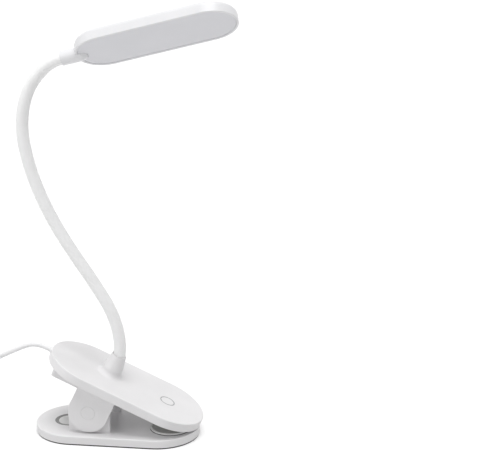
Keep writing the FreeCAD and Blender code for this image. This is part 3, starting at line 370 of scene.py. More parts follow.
def copper_foil():
    """Copper foil of the touch electrode, lightly oxidised."""
    return metal("copper_foil", "#b9744f", "#cf8a63", 2, 0.35, (0.3, 0.004))


def solder_mask():
    """Green solder mask over glass-epoxy."""
    return plastic("green_solder_mask", "#12522e", "#176238", 6, 0.32, (0.5, 0.006), IOR=1.5)


def chip_epoxy():
    """Black moulding compound of chip packages."""
    return plastic("black_mould_compound", "#1d1d1f", "#29292b", 1.5, 0.55, (0.2, 0.006), IOR=1.55)


def mask_on_aluminium():
    """White mask baked on an aluminium board."""
    return plastic("white_mask_on_aluminium", "#e4e5e2", "#eceded", 8, 0.4, (0.5, 0.004), IOR=1.5)


def led_phosphor():
    """Yellow phosphor in clear silicone, the face of a white LED."""
    return plastic("led_phosphor_silicone", "#e3c653", "#efd771", 1, 0.28, (0.2, 0.006), IOR=1.41)


def reflector_film():
    """White foamed polyester film: almost pure diffuse white."""
    return plastic("white_polyester_film", "#f1f1f0", "#f6f6f5", 10, 0.6, (0.3, 0.006), IOR=1.5)


def wire_insulation():
    """Thin red PVC on the lamp wires."""
    return plastic("red_pvc_insulation", "#b02c25", "#bf3a31", 3, 0.38, (0.3, 0.006), IOR=1.53)


def woven_strap():
    """Woven white nylon strap: ribs across its width, one each 0.8 mm, coarse enough to show."""
    material, tree = new_material("white_nylon_strap")
    place = add(tree, "ShaderNodeTexCoord").outputs["Object"]
    rib = add(tree, "ShaderNodeTexWave", {"bands_direction": "Z"}, Vector=place,
              Scale=per_mm(0.8) / 20, Distortion=0.6, Detail=1.0)
    bump = add(tree, "ShaderNodeBump", Strength=0.8, Distance=0.15 * MM, Height=rib.outputs["Fac"])
    shader = add(tree, "ShaderNodeBsdfPrincipled", Roughness=0.8, Sheen_Weight=0.3,
                 Base_Color=mottled(tree, place, 1.5, "#dcdcdb", "#e8e8e7"),
                 Normal=bump.outputs["Normal"])
    finish_material(tree, shader)
    return material


# ---------------------------------------------------------------- mesh helpers

def link(name, mesh):
    piece = bpy.data.objects.new(name, mesh)
    bpy.context.scene.collection.objects.link(piece)
    return piece


def from_faces(name, points, faces, material, place=Matrix.Identity(4), crease=35):
    """A closed piece from points and faces, with its normals made to point out."""
    work = bmesh.new()
    made = [work.verts.new(place @ Vector(p)) for p in points]
    for face in faces:
        corners = [made[i] for i in face]
        if len(set(corners)) > 2:
            work.faces.new(corners)
    bmesh.ops.remove_doubles(work, verts=work.verts, dist=0.0005 * MM)
    bmesh.ops.recalc_face_normals(work, faces=work.faces)
    mesh = bpy.data.meshes.new(name)
    work.to_mesh(mesh)
    work.free()
    mesh.materials.append(material)
    mesh.shade_smooth()
    mesh.set_sharp_from_angle(angle=math.radians(crease))
    return link(name, mesh)


def softened(corners, radius, steps=5):
    """A line through corners in a plane, each inner corner rounded to about the radius."""
    corners = [Vector(c) for c in corners]
    line = [corners[0]]
    for before, corner, after in zip(corners, corners[1:], corners[2:]):
        into = before - corner
        out = after - corner
        trim = min(radius, 0.45 * into.length, 0.45 * out.length)
        start = corner + into.normalized() * trim
        end = corner + out.normalized() * trim
        for i in range(steps + 1):
            t = i / steps
            line.append((1 - t) ** 2 * start + 2 * t * (1 - t) * corner + t ** 2 * end)
    line.append(corners[-1])
    return line


def turned(name, profile, material, place, count=96, crease=35):
    """Solid of revolution about the local Z of a profile of (radius, height)."""
    points = []
    for i in range(count):
        a = 2 * math.pi * i / count
        points += [(r * math.cos(a), r * math.sin(a), z) for r, z in profile]
    size = len(profile)
    faces = []
    for i in range(count):
        j = (i + 1) % count
        faces += [(i * size + k, j * size + k, j * size + k + 1, i * size + k + 1)
                  for k in range(size - 1)]
    hollow = profile[0][0] > 0 and profile[-1][0] > 0
    if hollow:
        faces += [(i * size + size - 1, ((i + 1) % count) * size + size - 1,
                   ((i + 1) % count) * size, i * size) for i in range(count)]
    return from_faces(name, points, faces, material, place, crease)


def stadium_line(length, width, inset, z, count=40):
    """Points round a slab with full round ends, drawn in by an inset."""
    r = width / 2 - inset
    middle = length / 2 - width / 2
    points = []
    for side in (1, -1):
        for i in range(count + 1):
            a = -math.pi / 2 + math.pi * i / count
            points.append((side * (middle + r * math.cos(a)), side * r * math.sin(a), z))
    return points


def stadium_slab(name, length, width, profile, material, place, crease=35):
    """Round-ended slab from rings of (inset, height), closed flat at both ends."""
    rings = [stadium_line(length, width, inset, z) for inset, z in profile]
    size = len(rings[0])
    points = [p for ring in rings for p in ring]
    faces = [tuple(range(size)), tuple(range((len(rings) - 1) * size, len(rings) * size))]
    for k in range(len(rings) - 1):
        for i in range(size):
            j = (i + 1) % size
            faces.append((k * size + i, k * size + j, (k + 1) * size + j, (k + 1) * size + i))
    return from_faces(name, points, faces, material, place, crease)


def evaluated(piece, name, material=None):
    """The piece with its modifiers worked in, as a plain mesh piece of its own."""
    depsgraph = bpy.context.evaluated_depsgraph_get()
    mesh = bpy.data.meshes.new_from_object(piece.evaluated_get(depsgraph))
    bpy.data.objects.remove(piece)
    mesh.name = name
    if material is not None:
        mesh.materials.clear()
        mesh.materials.append(material)
    return link(name, mesh)


def merged_copy(node):
    """A copy of a node's mesh with its triangles joined and its flat faces made whole."""
    work = bmesh.new()
    work.from_mesh(frame["nodes"][node].data)
    bmesh.ops.remove_doubles(work, verts=work.verts, dist=0.0005 * MM)
    bmesh.ops.dissolve_limit(work, angle_limit=math.radians(0.2), verts=work.verts,
                             edges=work.edges)
    mesh = bpy.data.meshes.new(node + "_copy")
    work.to_mesh(mesh)
    work.free()
    for attribute in [a for a in mesh.attributes if a.name in ("custom_normal", "sharp_face")]:
        mesh.attributes.remove(attribute)
    mesh.materials.clear()
    return mesh


def moulded(node, material, edge, steps=3, crease=30):
    """A node's own shape with every sharp edge broken, as a moulding comes out of its tool."""
    mesh = merged_copy(node)
    mesh.shade_smooth()
    piece = link(node + "_work", mesh)
    bevel = piece.modifiers.new("broken_edges", "BEVEL")
    bevel.width = edge
    bevel.segments = steps
    bevel.limit_method = "ANGLE"
    bevel.angle_limit = math.radians(crease)
    bevel.use_clamp_overlap = False
    bevel.miter_outer = "MITER_ARC"
    normals = piece.modifiers.new("flat_faces_stay_flat", "WEIGHTED_NORMAL")
    normals.keep_sharp = True
    return evaluated(piece, node + "_moulded", material)


def dress(piece, body, slot, *nodes):
    """Rides a piece on its body and hides the nodes that it stands for; slot, the name of its finish, is not used.
    """
    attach(piece, body)
    if nodes:
        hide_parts(*nodes)


# ---------------------------------------------------------------- trees that repeat or follow

def tree_with(name, sockets):
    tree = bpy.data.node_groups.new(name, "GeometryNodeTree")
    for label, kind in [("Geometry", "Geometry")] + sockets:
        tree.interface.new_socket(label, in_out="INPUT", socket_type="NodeSocket" + kind)
    tree.interface.new_socket("Geometry", in_out="OUTPUT", socket_type="NodeSocketGeometry")
    return tree, add(tree, "NodeGroupInput")


def end_tree(tree, geometry, material):
    """Every tree ends the same way: nothing is left an instance, and one material is set."""
    real = add(tree, "GeometryNodeRealizeInstances", Geometry=geometry)
    painted = add(tree, "GeometryNodeSetMaterial", Geometry=real.outputs[0], Material=material)
    add(tree, "NodeGroupOutput", Geometry=painted.outputs[0])


def set_inputs(piece, tree, values):
    """Adds the tree to a piece and sets its inputs by their identifiers."""
    modifier = piece.modifiers.new(tree.name, "NODES")
    modifier.node_group = tree
    for item in tree.interface.items_tree:
        if item.item_type == "SOCKET" and item.in_out == "INPUT" and item.name in values:
            modifier[item.identifier] = values[item.name]


def hose_tree():
    """Round hose along a line: sleeves of the neck and the lead."""
    tree, given = tree_with("hose_on_a_line", [("Radius", "Float"), ("Sides", "Int"),
                                               ("Closed ends", "Bool"), ("Material", "Material")])
    ring = add(tree, "GeometryNodeCurvePrimitiveCircle", {"mode": "RADIUS"},
               Resolution=given.outputs["Sides"], Radius=given.outputs["Radius"])
    hose = add(tree, "GeometryNodeCurveToMesh", Curve=given.outputs["Geometry"],
               Profile_Curve=ring.outputs["Curve"], Fill_Caps=given.outputs["Closed ends"])
    smooth = add(tree, "GeometryNodeSetShadeSmooth", Geometry=hose.outputs["Mesh"])
    end_tree(tree, smooth.outputs[0], given.outputs["Material"])
    return tree


def grid_tree():
    """Rows of one small part on a board: Count of them over Length along X, two rows Width apart along Y."""
    tree, given = tree_with("parts_in_rows", [("Part", "Object"), ("Count", "Int"),
                                              ("Length", "Float"), ("Width", "Float"),
                                              ("Material", "Material")])
    grid = add(tree, "GeometryNodeMeshGrid", Size_X=given.outputs["Length"],
               Size_Y=given.outputs["Width"], Vertices_X=given.outputs["Count"], Vertices_Y=2)
    part = add(tree, "GeometryNodeObjectInfo", Object=given.outputs["Part"])
    rows = add(tree, "GeometryNodeInstanceOnPoints", Points=grid.outputs["Mesh"],
               Instance=part.outputs["Geometry"])
    end_tree(tree, rows.outputs[0], given.outputs["Material"])
    return tree


def points_tree():
    """One small part on each point of the piece, all turned the same way."""
    tree, given = tree_with("part_on_each_point", [("Part", "Object"), ("Material", "Material")])
    part = add(tree, "GeometryNodeObjectInfo", Object=given.outputs["Part"])
    parts = add(tree, "GeometryNodeInstanceOnPoints", Points=given.outputs["Geometry"],
                Instance=part.outputs["Geometry"])
    end_tree(tree, parts.outputs[0], given.outputs["Material"])
    return tree


def line_object(name, points, kind="POLY"):
    """A curve with no thickness through, or for a NURBS line near, the points."""
    data = bpy.data.curves.new(name, "CURVE")
    data.dimensions = "3D"
    data.resolution_u = 6
    spline = data.splines.new(kind)
    spline.points.add(len(points) - 1)
    for at, point in zip(spline.points, points):
        at.co = (*point, 1)
    if kind == "NURBS":
        spline.order_u = 3
        spline.use_endpoint_u = True
    return link(name, data)


def hose(name, line, radius, sides, material, wall=0.0):
    """Hose or solid round lead along a line object; a wall makes it a hollow sleeve."""
    set_inputs(line, HOSE, {"Radius": radius, "Sides": sides, "Closed ends": wall == 0.0,
                            "Material": material})
    if wall:
        thick = line.modifiers.new("wall", "SOLIDIFY")
        thick.thickness = wall
        thick.offset = -1
    return evaluated(line, name)


# ---------------------------------------------------------------- places

joints = {j["name"]: j for j in frame["joints"]}
PIVOT = Vector(joints["jaw_hinge"]["pos_m"])
ALONG = Vector((math.cos(JAW_ANGLE), 0, -math.sin(JAW_ANGLE)))
OUT = Vector((math.sin(JAW_ANGLE), 0, math.cos(JAW_ANGLE)))
TIP = Vector((JAW_LENGTH / 2, 0, JAW_RISE + TIP_GAP))
UPPER_ORIGIN = TIP + OUT * UPPER_THICK - ALONG * JAW_LENGTH / 2
UPPER = Matrix.Translation(UPPER_ORIGIN) @ Matrix.Rotation(JAW_ANGLE, 4, "Y")


def direction(heading):
    return Vector((math.cos(heading), 0, math.sin(heading)))


def arc_points(start, heading, length, turn, count):
    """Points along an arc in the lamp's middle plane, with the start left out."""
    points = []
    radius = length / turn
    centre = start + direction(heading + math.pi / 2) * radius
    for i in range(1, count + 1):
        points.append(centre - direction(heading + turn * i / count + math.pi / 2) * radius)
    return points


def neck_line():
    """The neck's middle line from the upper jaw into the head, with the joints on it."""
    numbered = [j for j in frame["joints"] if j["name"].startswith("neck_")]
    stops = [Vector(j["pos_m"]) for j in numbered]
    swing = Vector(numbered[0]["axis"])
    heading = math.atan2(-swing.x, swing.z)
    turn = heading - (math.pi / 2 - JAW_ANGLE)
    start = stops[0] + direction(heading + math.pi / 2) * (STUB_LENGTH / turn)
    start -= direction(heading - turn + math.pi / 2) * (STUB_LENGTH / turn)
    foot = start - direction(heading - turn) * NECK_STRAIGHT
    line = [foot, start] + arc_points(start, heading - turn, STUB_LENGTH, turn, 18)
    marks = [len(line) - 1]
    for here, there in zip(stops, stops[1:]):
        chord = there - here
        turn = 2 * (math.atan2(chord.z, chord.x) - heading)
        radius = chord.length / 2 / math.sin(turn / 2)
        line += arc_points(here, heading, radius * turn, turn, 24)
        heading += turn
        marks.append(len(line) - 1)
    line += arc_points(stops[-1], heading, HEAD_ARC[0], HEAD_ARC[1], 12)
    heading += HEAD_ARC[1]
    return line, marks, stops, heading


NECK, MARKS, STOPS, HEAD_PITCH = neck_line()
HEAD_TURN = (Matrix.Rotation(-HEAD_PITCH, 4, "Y") @ Matrix.Rotation(-HEAD_ROLL, 4, "X"))
SOCKET_START = Vector((-HEAD_LENGTH / 2 - SOCKET_OUT, 0, SOCKET_RISE))
HEAD = Matrix.Translation(NECK[-1] - HEAD_TURN.to_3x3() @ SOCKET_START) @ HEAD_TURN


# ---------------------------------------------------------------- USB lead

LEAD_STRAIGHT = 6.4 * MM
LEAD_EXIT = UPPER @ Vector((-JAW_LENGTH / 2 - 0.8 * MM, 0, -3.6 * MM))
LEAD_MOVES_TO = -0.124          # the opening jaw moves the lead as far as this x
LEAD_ROUTE = [
    (-60.3, 0.2, 64.5),
    (-66.5, 0.9, 63.1),
    (-76.8, 3.4, 57.6),
    (-93.6, 11.5, 47.3),
    (-106.4, 21.1, 35.2),
    (-117.6, 29.5, 24.0),
    (-127.2, 36.7, 16.4),
]
TAIL_ROUTE = [
    (-172.9, 18.5, 2.4),
    (-172.9, 6.0, 2.2),
    (-172.8, -7.0, 2.4),
    (-162.8, -17.0, 3.4),
    (-149.7, -17.0, 4.0),
    (-142.7, -17.0, 4.0),
]
COIL_MIDDLE = (-150.0, 25.0)
COIL_R = 21.0
COIL_FLOOR = 2.4                # height of the lowest turn's middle
PITCH_MM = 3.65                 # from one turn to the next in the bundle
# Places in the bundle that the turns take in order: row (inner -1, outer 1) and layer.
COIL_PLACES = [(1, 3), (-1, 3), (-1, 2), (1, 2), (1, 1), (-1, 1), (-1, 0), (1, 0)]
COIL_START = 53.4               # degrees round the coil where the lead comes in
COIL_END = 180 + 6 * 360        # and where it leaves
COIL_POINTS = 102
TURN_HELD = 240                 # degrees that a turn keeps its place in the bundle
TURN_MOVES = 60                 # degrees over which it crosses to the next place


def coil_route():
    """The coil's turns: each keeps its place, then slides over to the next one."""
    points = []
    step = (COIL_END - COIL_START) / COIL_POINTS
    for i in range(COIL_POINTS):
        travelled = (i + 0.5) * step
        turn = int(travelled // (TURN_HELD + TURN_MOVES))
        part = travelled - turn * (TURN_HELD + TURN_MOVES)
        here = COIL_PLACES[turn]
        after = COIL_PLACES[min(turn + 1, len(COIL_PLACES) - 1)]
        share = max(0.0, (part - TURN_HELD) / TURN_MOVES)
        share = share * share * (3 - 2 * share)
        row = here[0] + (after[0] - here[0]) * share
        layer = here[1] + (after[1] - here[1]) * share
        # a smooth line runs inside its points, so they stand out by half a step's sagitta
        radius = (COIL_R + row * PITCH_MM / 2) / math.cos(math.radians(step / 2)) ** 0.5
        a = math.radians(COIL_START + travelled)
        points.append((COIL_MIDDLE[0] + radius * math.cos(a), COIL_MIDDLE[1] + radius * math.sin(a),
                       COIL_FLOOR + layer * PITCH_MM))
    return points


def lead_route():
    straight_end = LEAD_EXIT - ALONG * LEAD_STRAIGHT
    laid = [Vector(p) * MM for p in LEAD_ROUTE + coil_route() + TAIL_ROUTE]
    return [LEAD_EXIT, straight_end] + laid


def make_lead():
    """The lead from the grommet over the table, round its coil and down to the plug."""
    line = line_object("lead_line", lead_route(), "NURBS")
    depsgraph = bpy.context.evaluated_depsgraph_get()
    path = [v.co.copy() for v in bpy.data.meshes.new_from_object(line.evaluated_get(depsgraph)).vertices]
    lead = hose("usb_lead_jacket", line, LEAD_R, 20, LEAD_JACKET)
    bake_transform(lead, "upper_jaw", "lower_jaw", start=LEAD_EXIT,
             end=(LEAD_MOVES_TO, LEAD_EXIT.y, LEAD_EXIT.z))
    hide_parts("usb_lead", "usb_lead_coil")


def make_strap():
    """Woven strap round the bundle of turns."""
    low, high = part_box("lead_tie")
    wall = 0.6 * MM
    half = (high.y - low.y) / 2
    middle = (low + high) / 2
    wide = (high.x - low.x) / 2
    tall = (high.z - low.z) / 2

    def loop(inset):
        corners = [Vector((-wide + inset, 0, 0)), Vector((-wide + inset, 0, tall - inset)),
                   Vector((wide - inset, 0, tall - inset)), Vector((wide - inset, 0, -tall + inset)),
                   Vector((-wide + inset, 0, -tall + inset)), Vector((-wide + inset, 0, 0))]
        return softened(corners, 1.6 * MM - inset, 6)[:-1]

    outer = loop(0)
    inner = loop(wall)
    edge = 0.12 * MM
    rows = [(outer, -half + edge), (outer, half - edge), (loop(edge), half),
            (loop(wall - edge), half), (inner, half - edge), (inner, -half + edge),
            (loop(wall - edge), -half), (loop(edge), -half)]
    size = len(outer)
    points = [(p.x, y, p.z) for ring, y in rows for p in ring]
    faces = []
    for k in range(len(rows)):
        n = (k + 1) % len(rows)
        faces += [(k * size + i, k * size + (i + 1) % size, n * size + (i + 1) % size, n * size + i)
                  for i in range(size)]
    strap = from_faces("coil_strap", points, faces, woven_strap(), Matrix.Translation(middle))
    dress(strap, "lower_jaw", "tie_strap", "lead_tie")


def rounded_box(name, size, middle, edge, material, steps=4):
    """Box with rounded edges, from its full size and middle."""
    work = bmesh.new()
    bmesh.ops.create_cube(work, size=1.0)
    bmesh.ops.scale(work, vec=size, verts=work.verts)
    bmesh.ops.bevel(work, geom=work.edges[:], offset=edge, segments=steps, profile=0.5,
                    affect="EDGES")
    bmesh.ops.translate(work, vec=middle, verts=work.verts)
    mesh = bpy.data.meshes.new(name)
    work.to_mesh(mesh)
    work.free()
    mesh.materials.append(material)
    mesh.shade_smooth()
    mesh.set_sharp_from_angle(angle=math.radians(40))
    return link(name, mesh)


def cut_with(piece, cutters):
    """Cuts closed shapes out of a piece and breaks the new edges' shading."""
    for number, cutter in enumerate(cutters):
        cut = piece.modifiers.new("cut%d" % number, "BOOLEAN")
        cut.operation = "DIFFERENCE"
        cut.solver = "EXACT"
        cut.object = cutter
    name = piece.name
    made = evaluated(piece, name + "_cut")
    for cutter in cutters:
        bpy.data.objects.remove(cutter)
    made.name = name
    made.data.set_sharp_from_angle(angle=math.radians(35))
    return made


def make_plug():
    """Moulded grip with a ribbed strain relief, metal shell, and tongue with four contacts."""
    low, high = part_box("usb_plug_body")
    relief = 9.0 * MM
    middle = (low + high) / 2
    body_length = high.x - relief - low.x
    grip_size = Vector((body_length, high.y - low.y, high.z - low.z))
    grip_middle = Vector((high.x - body_length / 2, middle.y, middle.z))
    grip = rounded_box("plug_grip_block", grip_size, grip_middle, 1.5 * MM, LEAD_JACKET, 6)
    back = Matrix.Translation((low.x, middle.y, middle.z)) @ Matrix.Rotation(math.pi / 2, 4, "Y")
    thin = 2.15 * MM
    thick = 3.1 * MM
    ribs = 4
    profile = [(LEAD_R * 0.98, 0), (thin, 0)]
    for i in range(ribs):
        z = relief * (i + 0.55) / ribs
        r = thin + (thick - thin) * (i + 0.55) / ribs
        profile += [(r, z - 0.5 * MM), (r - 0.45 * MM, z - 0.35 * MM), (r - 0.45 * MM, z + 0.35 * MM),
                    (r, z + 0.5 * MM)]
    profile += [(thick, relief + 1 * MM), (0, relief + 1 * MM)]
    profile = [tuple(p) for p in softened([(r, z) for r, z in profile], 0.14 * MM, 3)]
    sleeve = turned("plug_relief", [(0, 0)] + profile, LEAD_JACKET, back, 48)
    join = grip.modifiers.new("one_moulding", "BOOLEAN")
    join.operation = "UNION"
    join.solver = "EXACT"
    join.object = sleeve
    grip = evaluated(grip, "plug_grip")
    bpy.data.objects.remove(sleeve)
    grip.data.set_sharp_from_angle(angle=math.radians(35))
    dress(grip, "lower_jaw", "lead_pvc", "usb_plug_body")

    s_low, s_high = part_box("usb_plug_shell")
    shell = moulded("usb_plug_shell", nickel_shell(), 0.12 * MM, 2)
    windows = []
    for side in (-1, 1):
        at = Vector((s_high.x - 4.6 * MM, (s_low.y + s_high.y) / 2 + side * 2.5 * MM, s_high.z))
        windows.append(rounded_box("window", Vector((2.2, 2.2, 20)) * MM, at, 0.2 * MM, LEAD_JACKET, 2))
    shell.name = "plug_shell"
    shell = cut_with(shell, windows)
    dress(shell, "lower_jaw", "plug_metal", "usb_plug_shell")

    s_middle = (s_low + s_high) / 2
    tongue_size = Vector((9.6, 11.1, 1.9)) * MM
    tongue_middle = Vector((s_low.x + 0.4 * MM + tongue_size.x / 2, s_middle.y, s_middle.z - 0.9 * MM))
    tongue = rounded_box("plug_tongue", tongue_size, tongue_middle, 0.15 * MM, white_abs(), 2)
    dress(tongue, "lower_jaw", "lead_pvc")
    contact = rounded_box("contact", Vector((7.4, 1.1, 0.2)) * MM, Vector((0, 0, 0)), 0.05 * MM,
                          gold_contact(), 1)
    row = link("contact_row", bpy.data.meshes.new("contact_row"))
    top = tongue_middle.z + tongue_size.z / 2
    at = [Vector((tongue_middle.x, s_middle.y + (i - 1.5) * 2.3 * MM, top)) for i in range(4)]
    row.data.from_pydata(at, [], [])
    set_inputs(row, POINTS, {"Part": contact, "Material": gold_contact()})
    contacts = evaluated(row, "plug_contacts")
    bpy.data.objects.remove(contact)
    dress(contacts, "lower_jaw", "plug_metal")


# ---------------------------------------------------------------- neck

def neck_heading(i):
    """Unit vector along the neck's line at one of its points."""
    return (NECK[min(i + 1, len(NECK) - 1)] - NECK[max(i - 1, 0)]).normalized()


def make_neck():
    """Silicone sleeve, one length for each joint, from mid link to mid link."""
    bodies = ["upper_jaw"] + ["neck_%d" % k for k in range(1, 8)] + ["head"]
    cuts = [0] + [(a + b) // 2 for a, b in zip(MARKS, MARKS[1:])] + [len(NECK) - 1]
    end_step = 0.05 * MM
    sleeve_material = silicone_sleeve()
    for number, mark in enumerate(MARKS):
        first, last = cuts[number], cuts[number + 1]
        # a short step along the line at each end, so that neighbours meet in one plane
        points = [NECK[first], NECK[first] + neck_heading(first) * end_step]
        points += NECK[first + 1:last]
        points += [NECK[last] - neck_heading(last) * end_step, NECK[last]]
        if number == len(MARKS) - 1:
            points.append(NECK[-1] + direction(HEAD_PITCH) * SOCKET_BORE)
        line = line_object("sleeve_line", points)
        sleeve = hose("neck_sleeve_length_%d" % (number + 1), line, SLEEVE_R, 40, sleeve_material,
                      SLEEVE_WALL)
        sleeve.data.set_sharp_from_angle(angle=math.radians(50))
        ahead = neck_heading(mark) * SLEEVE_BEND
        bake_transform(sleeve, bodies[number], bodies[number + 1], start=STOPS[number] - ahead,
                 end=STOPS[number] + ahead)
        if number == 0:
            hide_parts("neck_sleeve_0", "neck_sleeve_1")
        else:
            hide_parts("neck_sleeve_%d" % (number + 1))


# ---------------------------------------------------------------- jaws

def make_front_pad():
    """Oval pad under the tip: a light rim that stands proud, with painted shade at its foot, round a darker
    gripping face whose grey is partly painted shade from the upper jaw.
    """
    low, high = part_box("lower_grip_pad")
    size = high - low
    rim = 0.9 * MM
    dish = 0.35 * MM
    top = size.z
    corners = [(0, 0, 0), (0, 0, top), (rim, 0, top), (rim + dish, 0, top - dish),
               (rim + 2 * dish, 0, top - dish)]
    profile = [(p.x, p.z) for p in softened(corners, 0.5 * MM, 6)]
    place = Matrix.Translation(((low.x + high.x) / 2, 0, low.z)) @ Matrix.Rotation(math.pi / 2, 4, "Z")
    body = stadium_slab("front_pad_rim", size.y, size.x, profile, front_pad_silicone(),
                        place)
    dress(body, "lower_jaw", "grip_silicone", "lower_grip_pad")
    edge = 0.15 * MM
    inset = rim + dish + edge
    lift = top - dish
    profile = [(inset, lift - 0.4 * MM), (inset, lift + 0.05 * MM), (inset + edge, lift + edge)]
    # painted shade: the face's grey also stands for the upper jaw's shadow on it
    face = stadium_slab("front_pad_face", size.y, size.x, profile, grip_face_silicone(), place)
    dress(face, "lower_jaw", "grip_silicone")


def make_rear_pad():
    """Round pad: a grey ring of painted shade that slopes down into the recess, round a light raised middle."""
    low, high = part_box("rear_round_pad")
    place = Matrix.Translation(((low.x + high.x) / 2, 0, low.z))
    outer = (high.x - low.x) / 2
    top = high.z - low.z
    foot = 8.6 * MM             # radius of the recess's floor, where its slope starts
    middle = 7.9 * MM           # radius of the light disc
    corners = [(middle, 0.05 * MM), (foot, 0.02 * MM), (outer, top - 0.12 * MM), (outer, top),
               (outer - 0.2 * MM, top), (middle, 0.12 * MM)]
    # painted shade: this grey ring stands for the shadow on the recess's sloping wall
    ring = turned("rear_pad_ring", corners, ring_silicone(), place, 128)
    dress(ring, "lower_jaw", "grip_silicone", "rear_round_pad")
    profile = softened([(middle, 0), (middle, top), (0, top)], 0.35 * MM, 5)
    disc = turned("rear_pad_middle", [(0, 0)] + [tuple(p) for p in profile],
                  silicone_pad("#dededd", "#e6e6e5"), place, 128)
    dress(disc, "lower_jaw", "grip_silicone")


def make_shells():
    """The mouldings of both jaws, with their sharp edges broken."""
    finish = white_abs()
    # a crease of 55 degrees leaves the narrow facets of the two shells' rounds alone
    for node, body, edge, crease in (("lower_shell", "lower_jaw", 0.2, 55),
                                     ("upper_cover", "upper_jaw", 0.2, 55),
                                     ("upper_base_plate", "upper_jaw", 0.25, 30),
                                     ("hinge_caps", "upper_jaw", 0.2, 30)):
        dress(moulded(node, finish, edge * MM, crease=crease), body, "white_abs", node)


def make_sole():
    """Rubber sheet under the whole base, with its cut edges a little worn."""
    low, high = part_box("sole_pad")
    size = high - low
    edge = 0.25 * MM
    profile = [(edge, 0), (edge * 0.3, edge * 0.3), (0, edge), (0, size.z - edge),
               (edge, size.z)]
    sole = stadium_slab("sole", size.x, size.y, profile, sole_rubber(), Matrix.Identity(4))
    dress(sole, "lower_jaw", "sole_rubber", "sole_pad")


def make_upper_pad():
    """Round pad with a soft rim and a shallow dish, under the tip of the upper jaw."""
    radius = 14 * MM
    thick = 1.2 * MM
    rim = 1.2 * MM
    dish = 0.4 * MM
    from_tip = 26 * MM
    place = UPPER @ Matrix.Translation((JAW_LENGTH / 2 - from_tip, 0, -UPPER_THICK)) \
        @ Matrix.Rotation(math.pi, 4, "X")
    corners = [(radius, 0), (radius, thick), (radius - rim, thick),
               (radius - rim - dish, thick - dish), (0, thick - dish)]
    profile = [(0, 0)] + [tuple(p) for p in softened(corners, 0.3 * MM, 5)]
    grip = turned("upper_grip_disc", profile, silicone_pad("#cfcfce", "#d8d8d7"), place)
    dress(grip, "upper_jaw", "grip_silicone", "upper_grip_pad")


def make_touch_ring():
    """Light guide round the touch spot, a hair proud of the upper jaw's top face."""
    radius = 5.6 * MM
    width = 0.7 * MM
    proud = 0.03 * MM
    deep = 0.5 * MM
    from_tip = 28.5 * MM
    place = UPPER @ Matrix.Translation((JAW_LENGTH / 2 - from_tip, 0, 0))
    corners = [(radius, -deep), (radius, proud), (radius - width, proud), (radius - width, -deep)]
    profile = [tuple(p) for p in softened(corners, 0.12 * MM, 3)]
    ring = turned("touch_ring_guide", profile, ring_plastic(), place, 128)
    dress(ring, "upper_jaw", "grey_ring", "touch_ring")


def make_lead_bush():
    """Soft bush that the lead leaves through: flange inside the shell, short nose outside."""
    place = UPPER @ Matrix.Translation((-JAW_LENGTH / 2 + 2.6 * MM, 0, -3.6 * MM)) \
        @ Matrix.Rotation(-math.pi / 2, 4, "Y")
    corners = [(LEAD_R, 0), (2.8 * MM, 0), (2.8 * MM, 1 * MM), (2.3 * MM, 1 * MM), (2.3 * MM, 3 * MM),
               (2.05 * MM, 3.4 * MM), (LEAD_R, 3.4 * MM)]
    profile = [tuple(p) for p in softened(corners, 0.2 * MM, 3)]
    bush = turned("lead_bush", profile, LEAD_JACKET, place, 64)
    dress(bush, "upper_jaw", "lead_pvc", "lead_grommet")


def make_spring():
    """Torsion spring; its coil winds up between the two legs as the clip opens."""
    spring = moulded("torsion_spring", spring_wire(), 0.08 * MM, 2, 60)
    low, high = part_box("torsion_spring")
    inset = 1.5 * MM
    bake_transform(spring, "lower_jaw", "upper_jaw", start=(PIVOT.x, high.y - inset, PIVOT.z),
             end=(PIVOT.x, low.y + inset, PIVOT.z))
    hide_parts("torsion_spring")


def make_screw_blank():
    """Pan-head screw with a cross recess, head up, its seat at the origin."""
    steel = zinc_steel()
    head_r = 2.1 * MM
    shank_r = 1.05 * MM
    profile = [(0, -3.6 * MM), (shank_r * 0.3, -3.6 * MM), (shank_r, -2.9 * MM)]
    for i in range(6):
        z = -2.9 * MM + i * 0.45 * MM
        profile += [(shank_r, z), (shank_r * 0.78, z + 0.22 * MM)]
    profile += [(shank_r, 0), (head_r, 0), (head_r, 0.35 * MM), (head_r * 0.8, 0.62 * MM),
                (0, 0.7 * MM)]
    screw = turned("screw_blank", profile, steel, Matrix.Identity(4), 32, 30)
    arms = [rounded_box("arm%d" % i, Vector(size) * MM, Vector((0, 0, 0.6 * MM)), 0.05 * MM, steel, 1)
            for i, size in enumerate(((2.4, 0.5, 0.9), (0.5, 2.4, 0.9)))]
    return cut_with(screw, arms)


def place_screws(name, template, at, place, body, node):
    row = link(name, bpy.data.meshes.new(name))
    row.data.from_pydata([Vector(p) for p in at], [], [])
    set_inputs(row, POINTS, {"Part": template, "Material": STEEL})
    made = evaluated(row, name + "_set")
    made.data.transform(place)
    dress(made, body, "steel", node)


def make_screws():
    """Both jaws' screws; each place is along the jaw and across it."""
    template = make_screw_blank()
    down = Matrix.Rotation(math.pi, 4, "X")
    end = JAW_LENGTH / 2
    seat = -UPPER_THICK + 0.7 * MM
    upper = [(15 * MM - end, -20.5 * MM), (15 * MM - end, 20.5 * MM), (end - 14 * MM, -13.5 * MM),
             (end - 14 * MM, 13.5 * MM)]
    # turned over: heads face down, out of the base plate
    place_screws("upper_jaw_screws", template, [(x, -y, -seat) for x, y in upper], UPPER @ down,
                 "upper_jaw", "upper_screws")
    lower = [(14 * MM - end, -13 * MM), (14 * MM - end, 13 * MM), (16 * MM, -20 * MM),
             (16 * MM, 20 * MM)]
    place_screws("lower_jaw_screws", template, [(x, -y, -1.7 * MM) for x, y in lower], down,
                 "lower_jaw", "lower_screws")
    bpy.data.objects.remove(template)


# ---------------------------------------------------------------- head

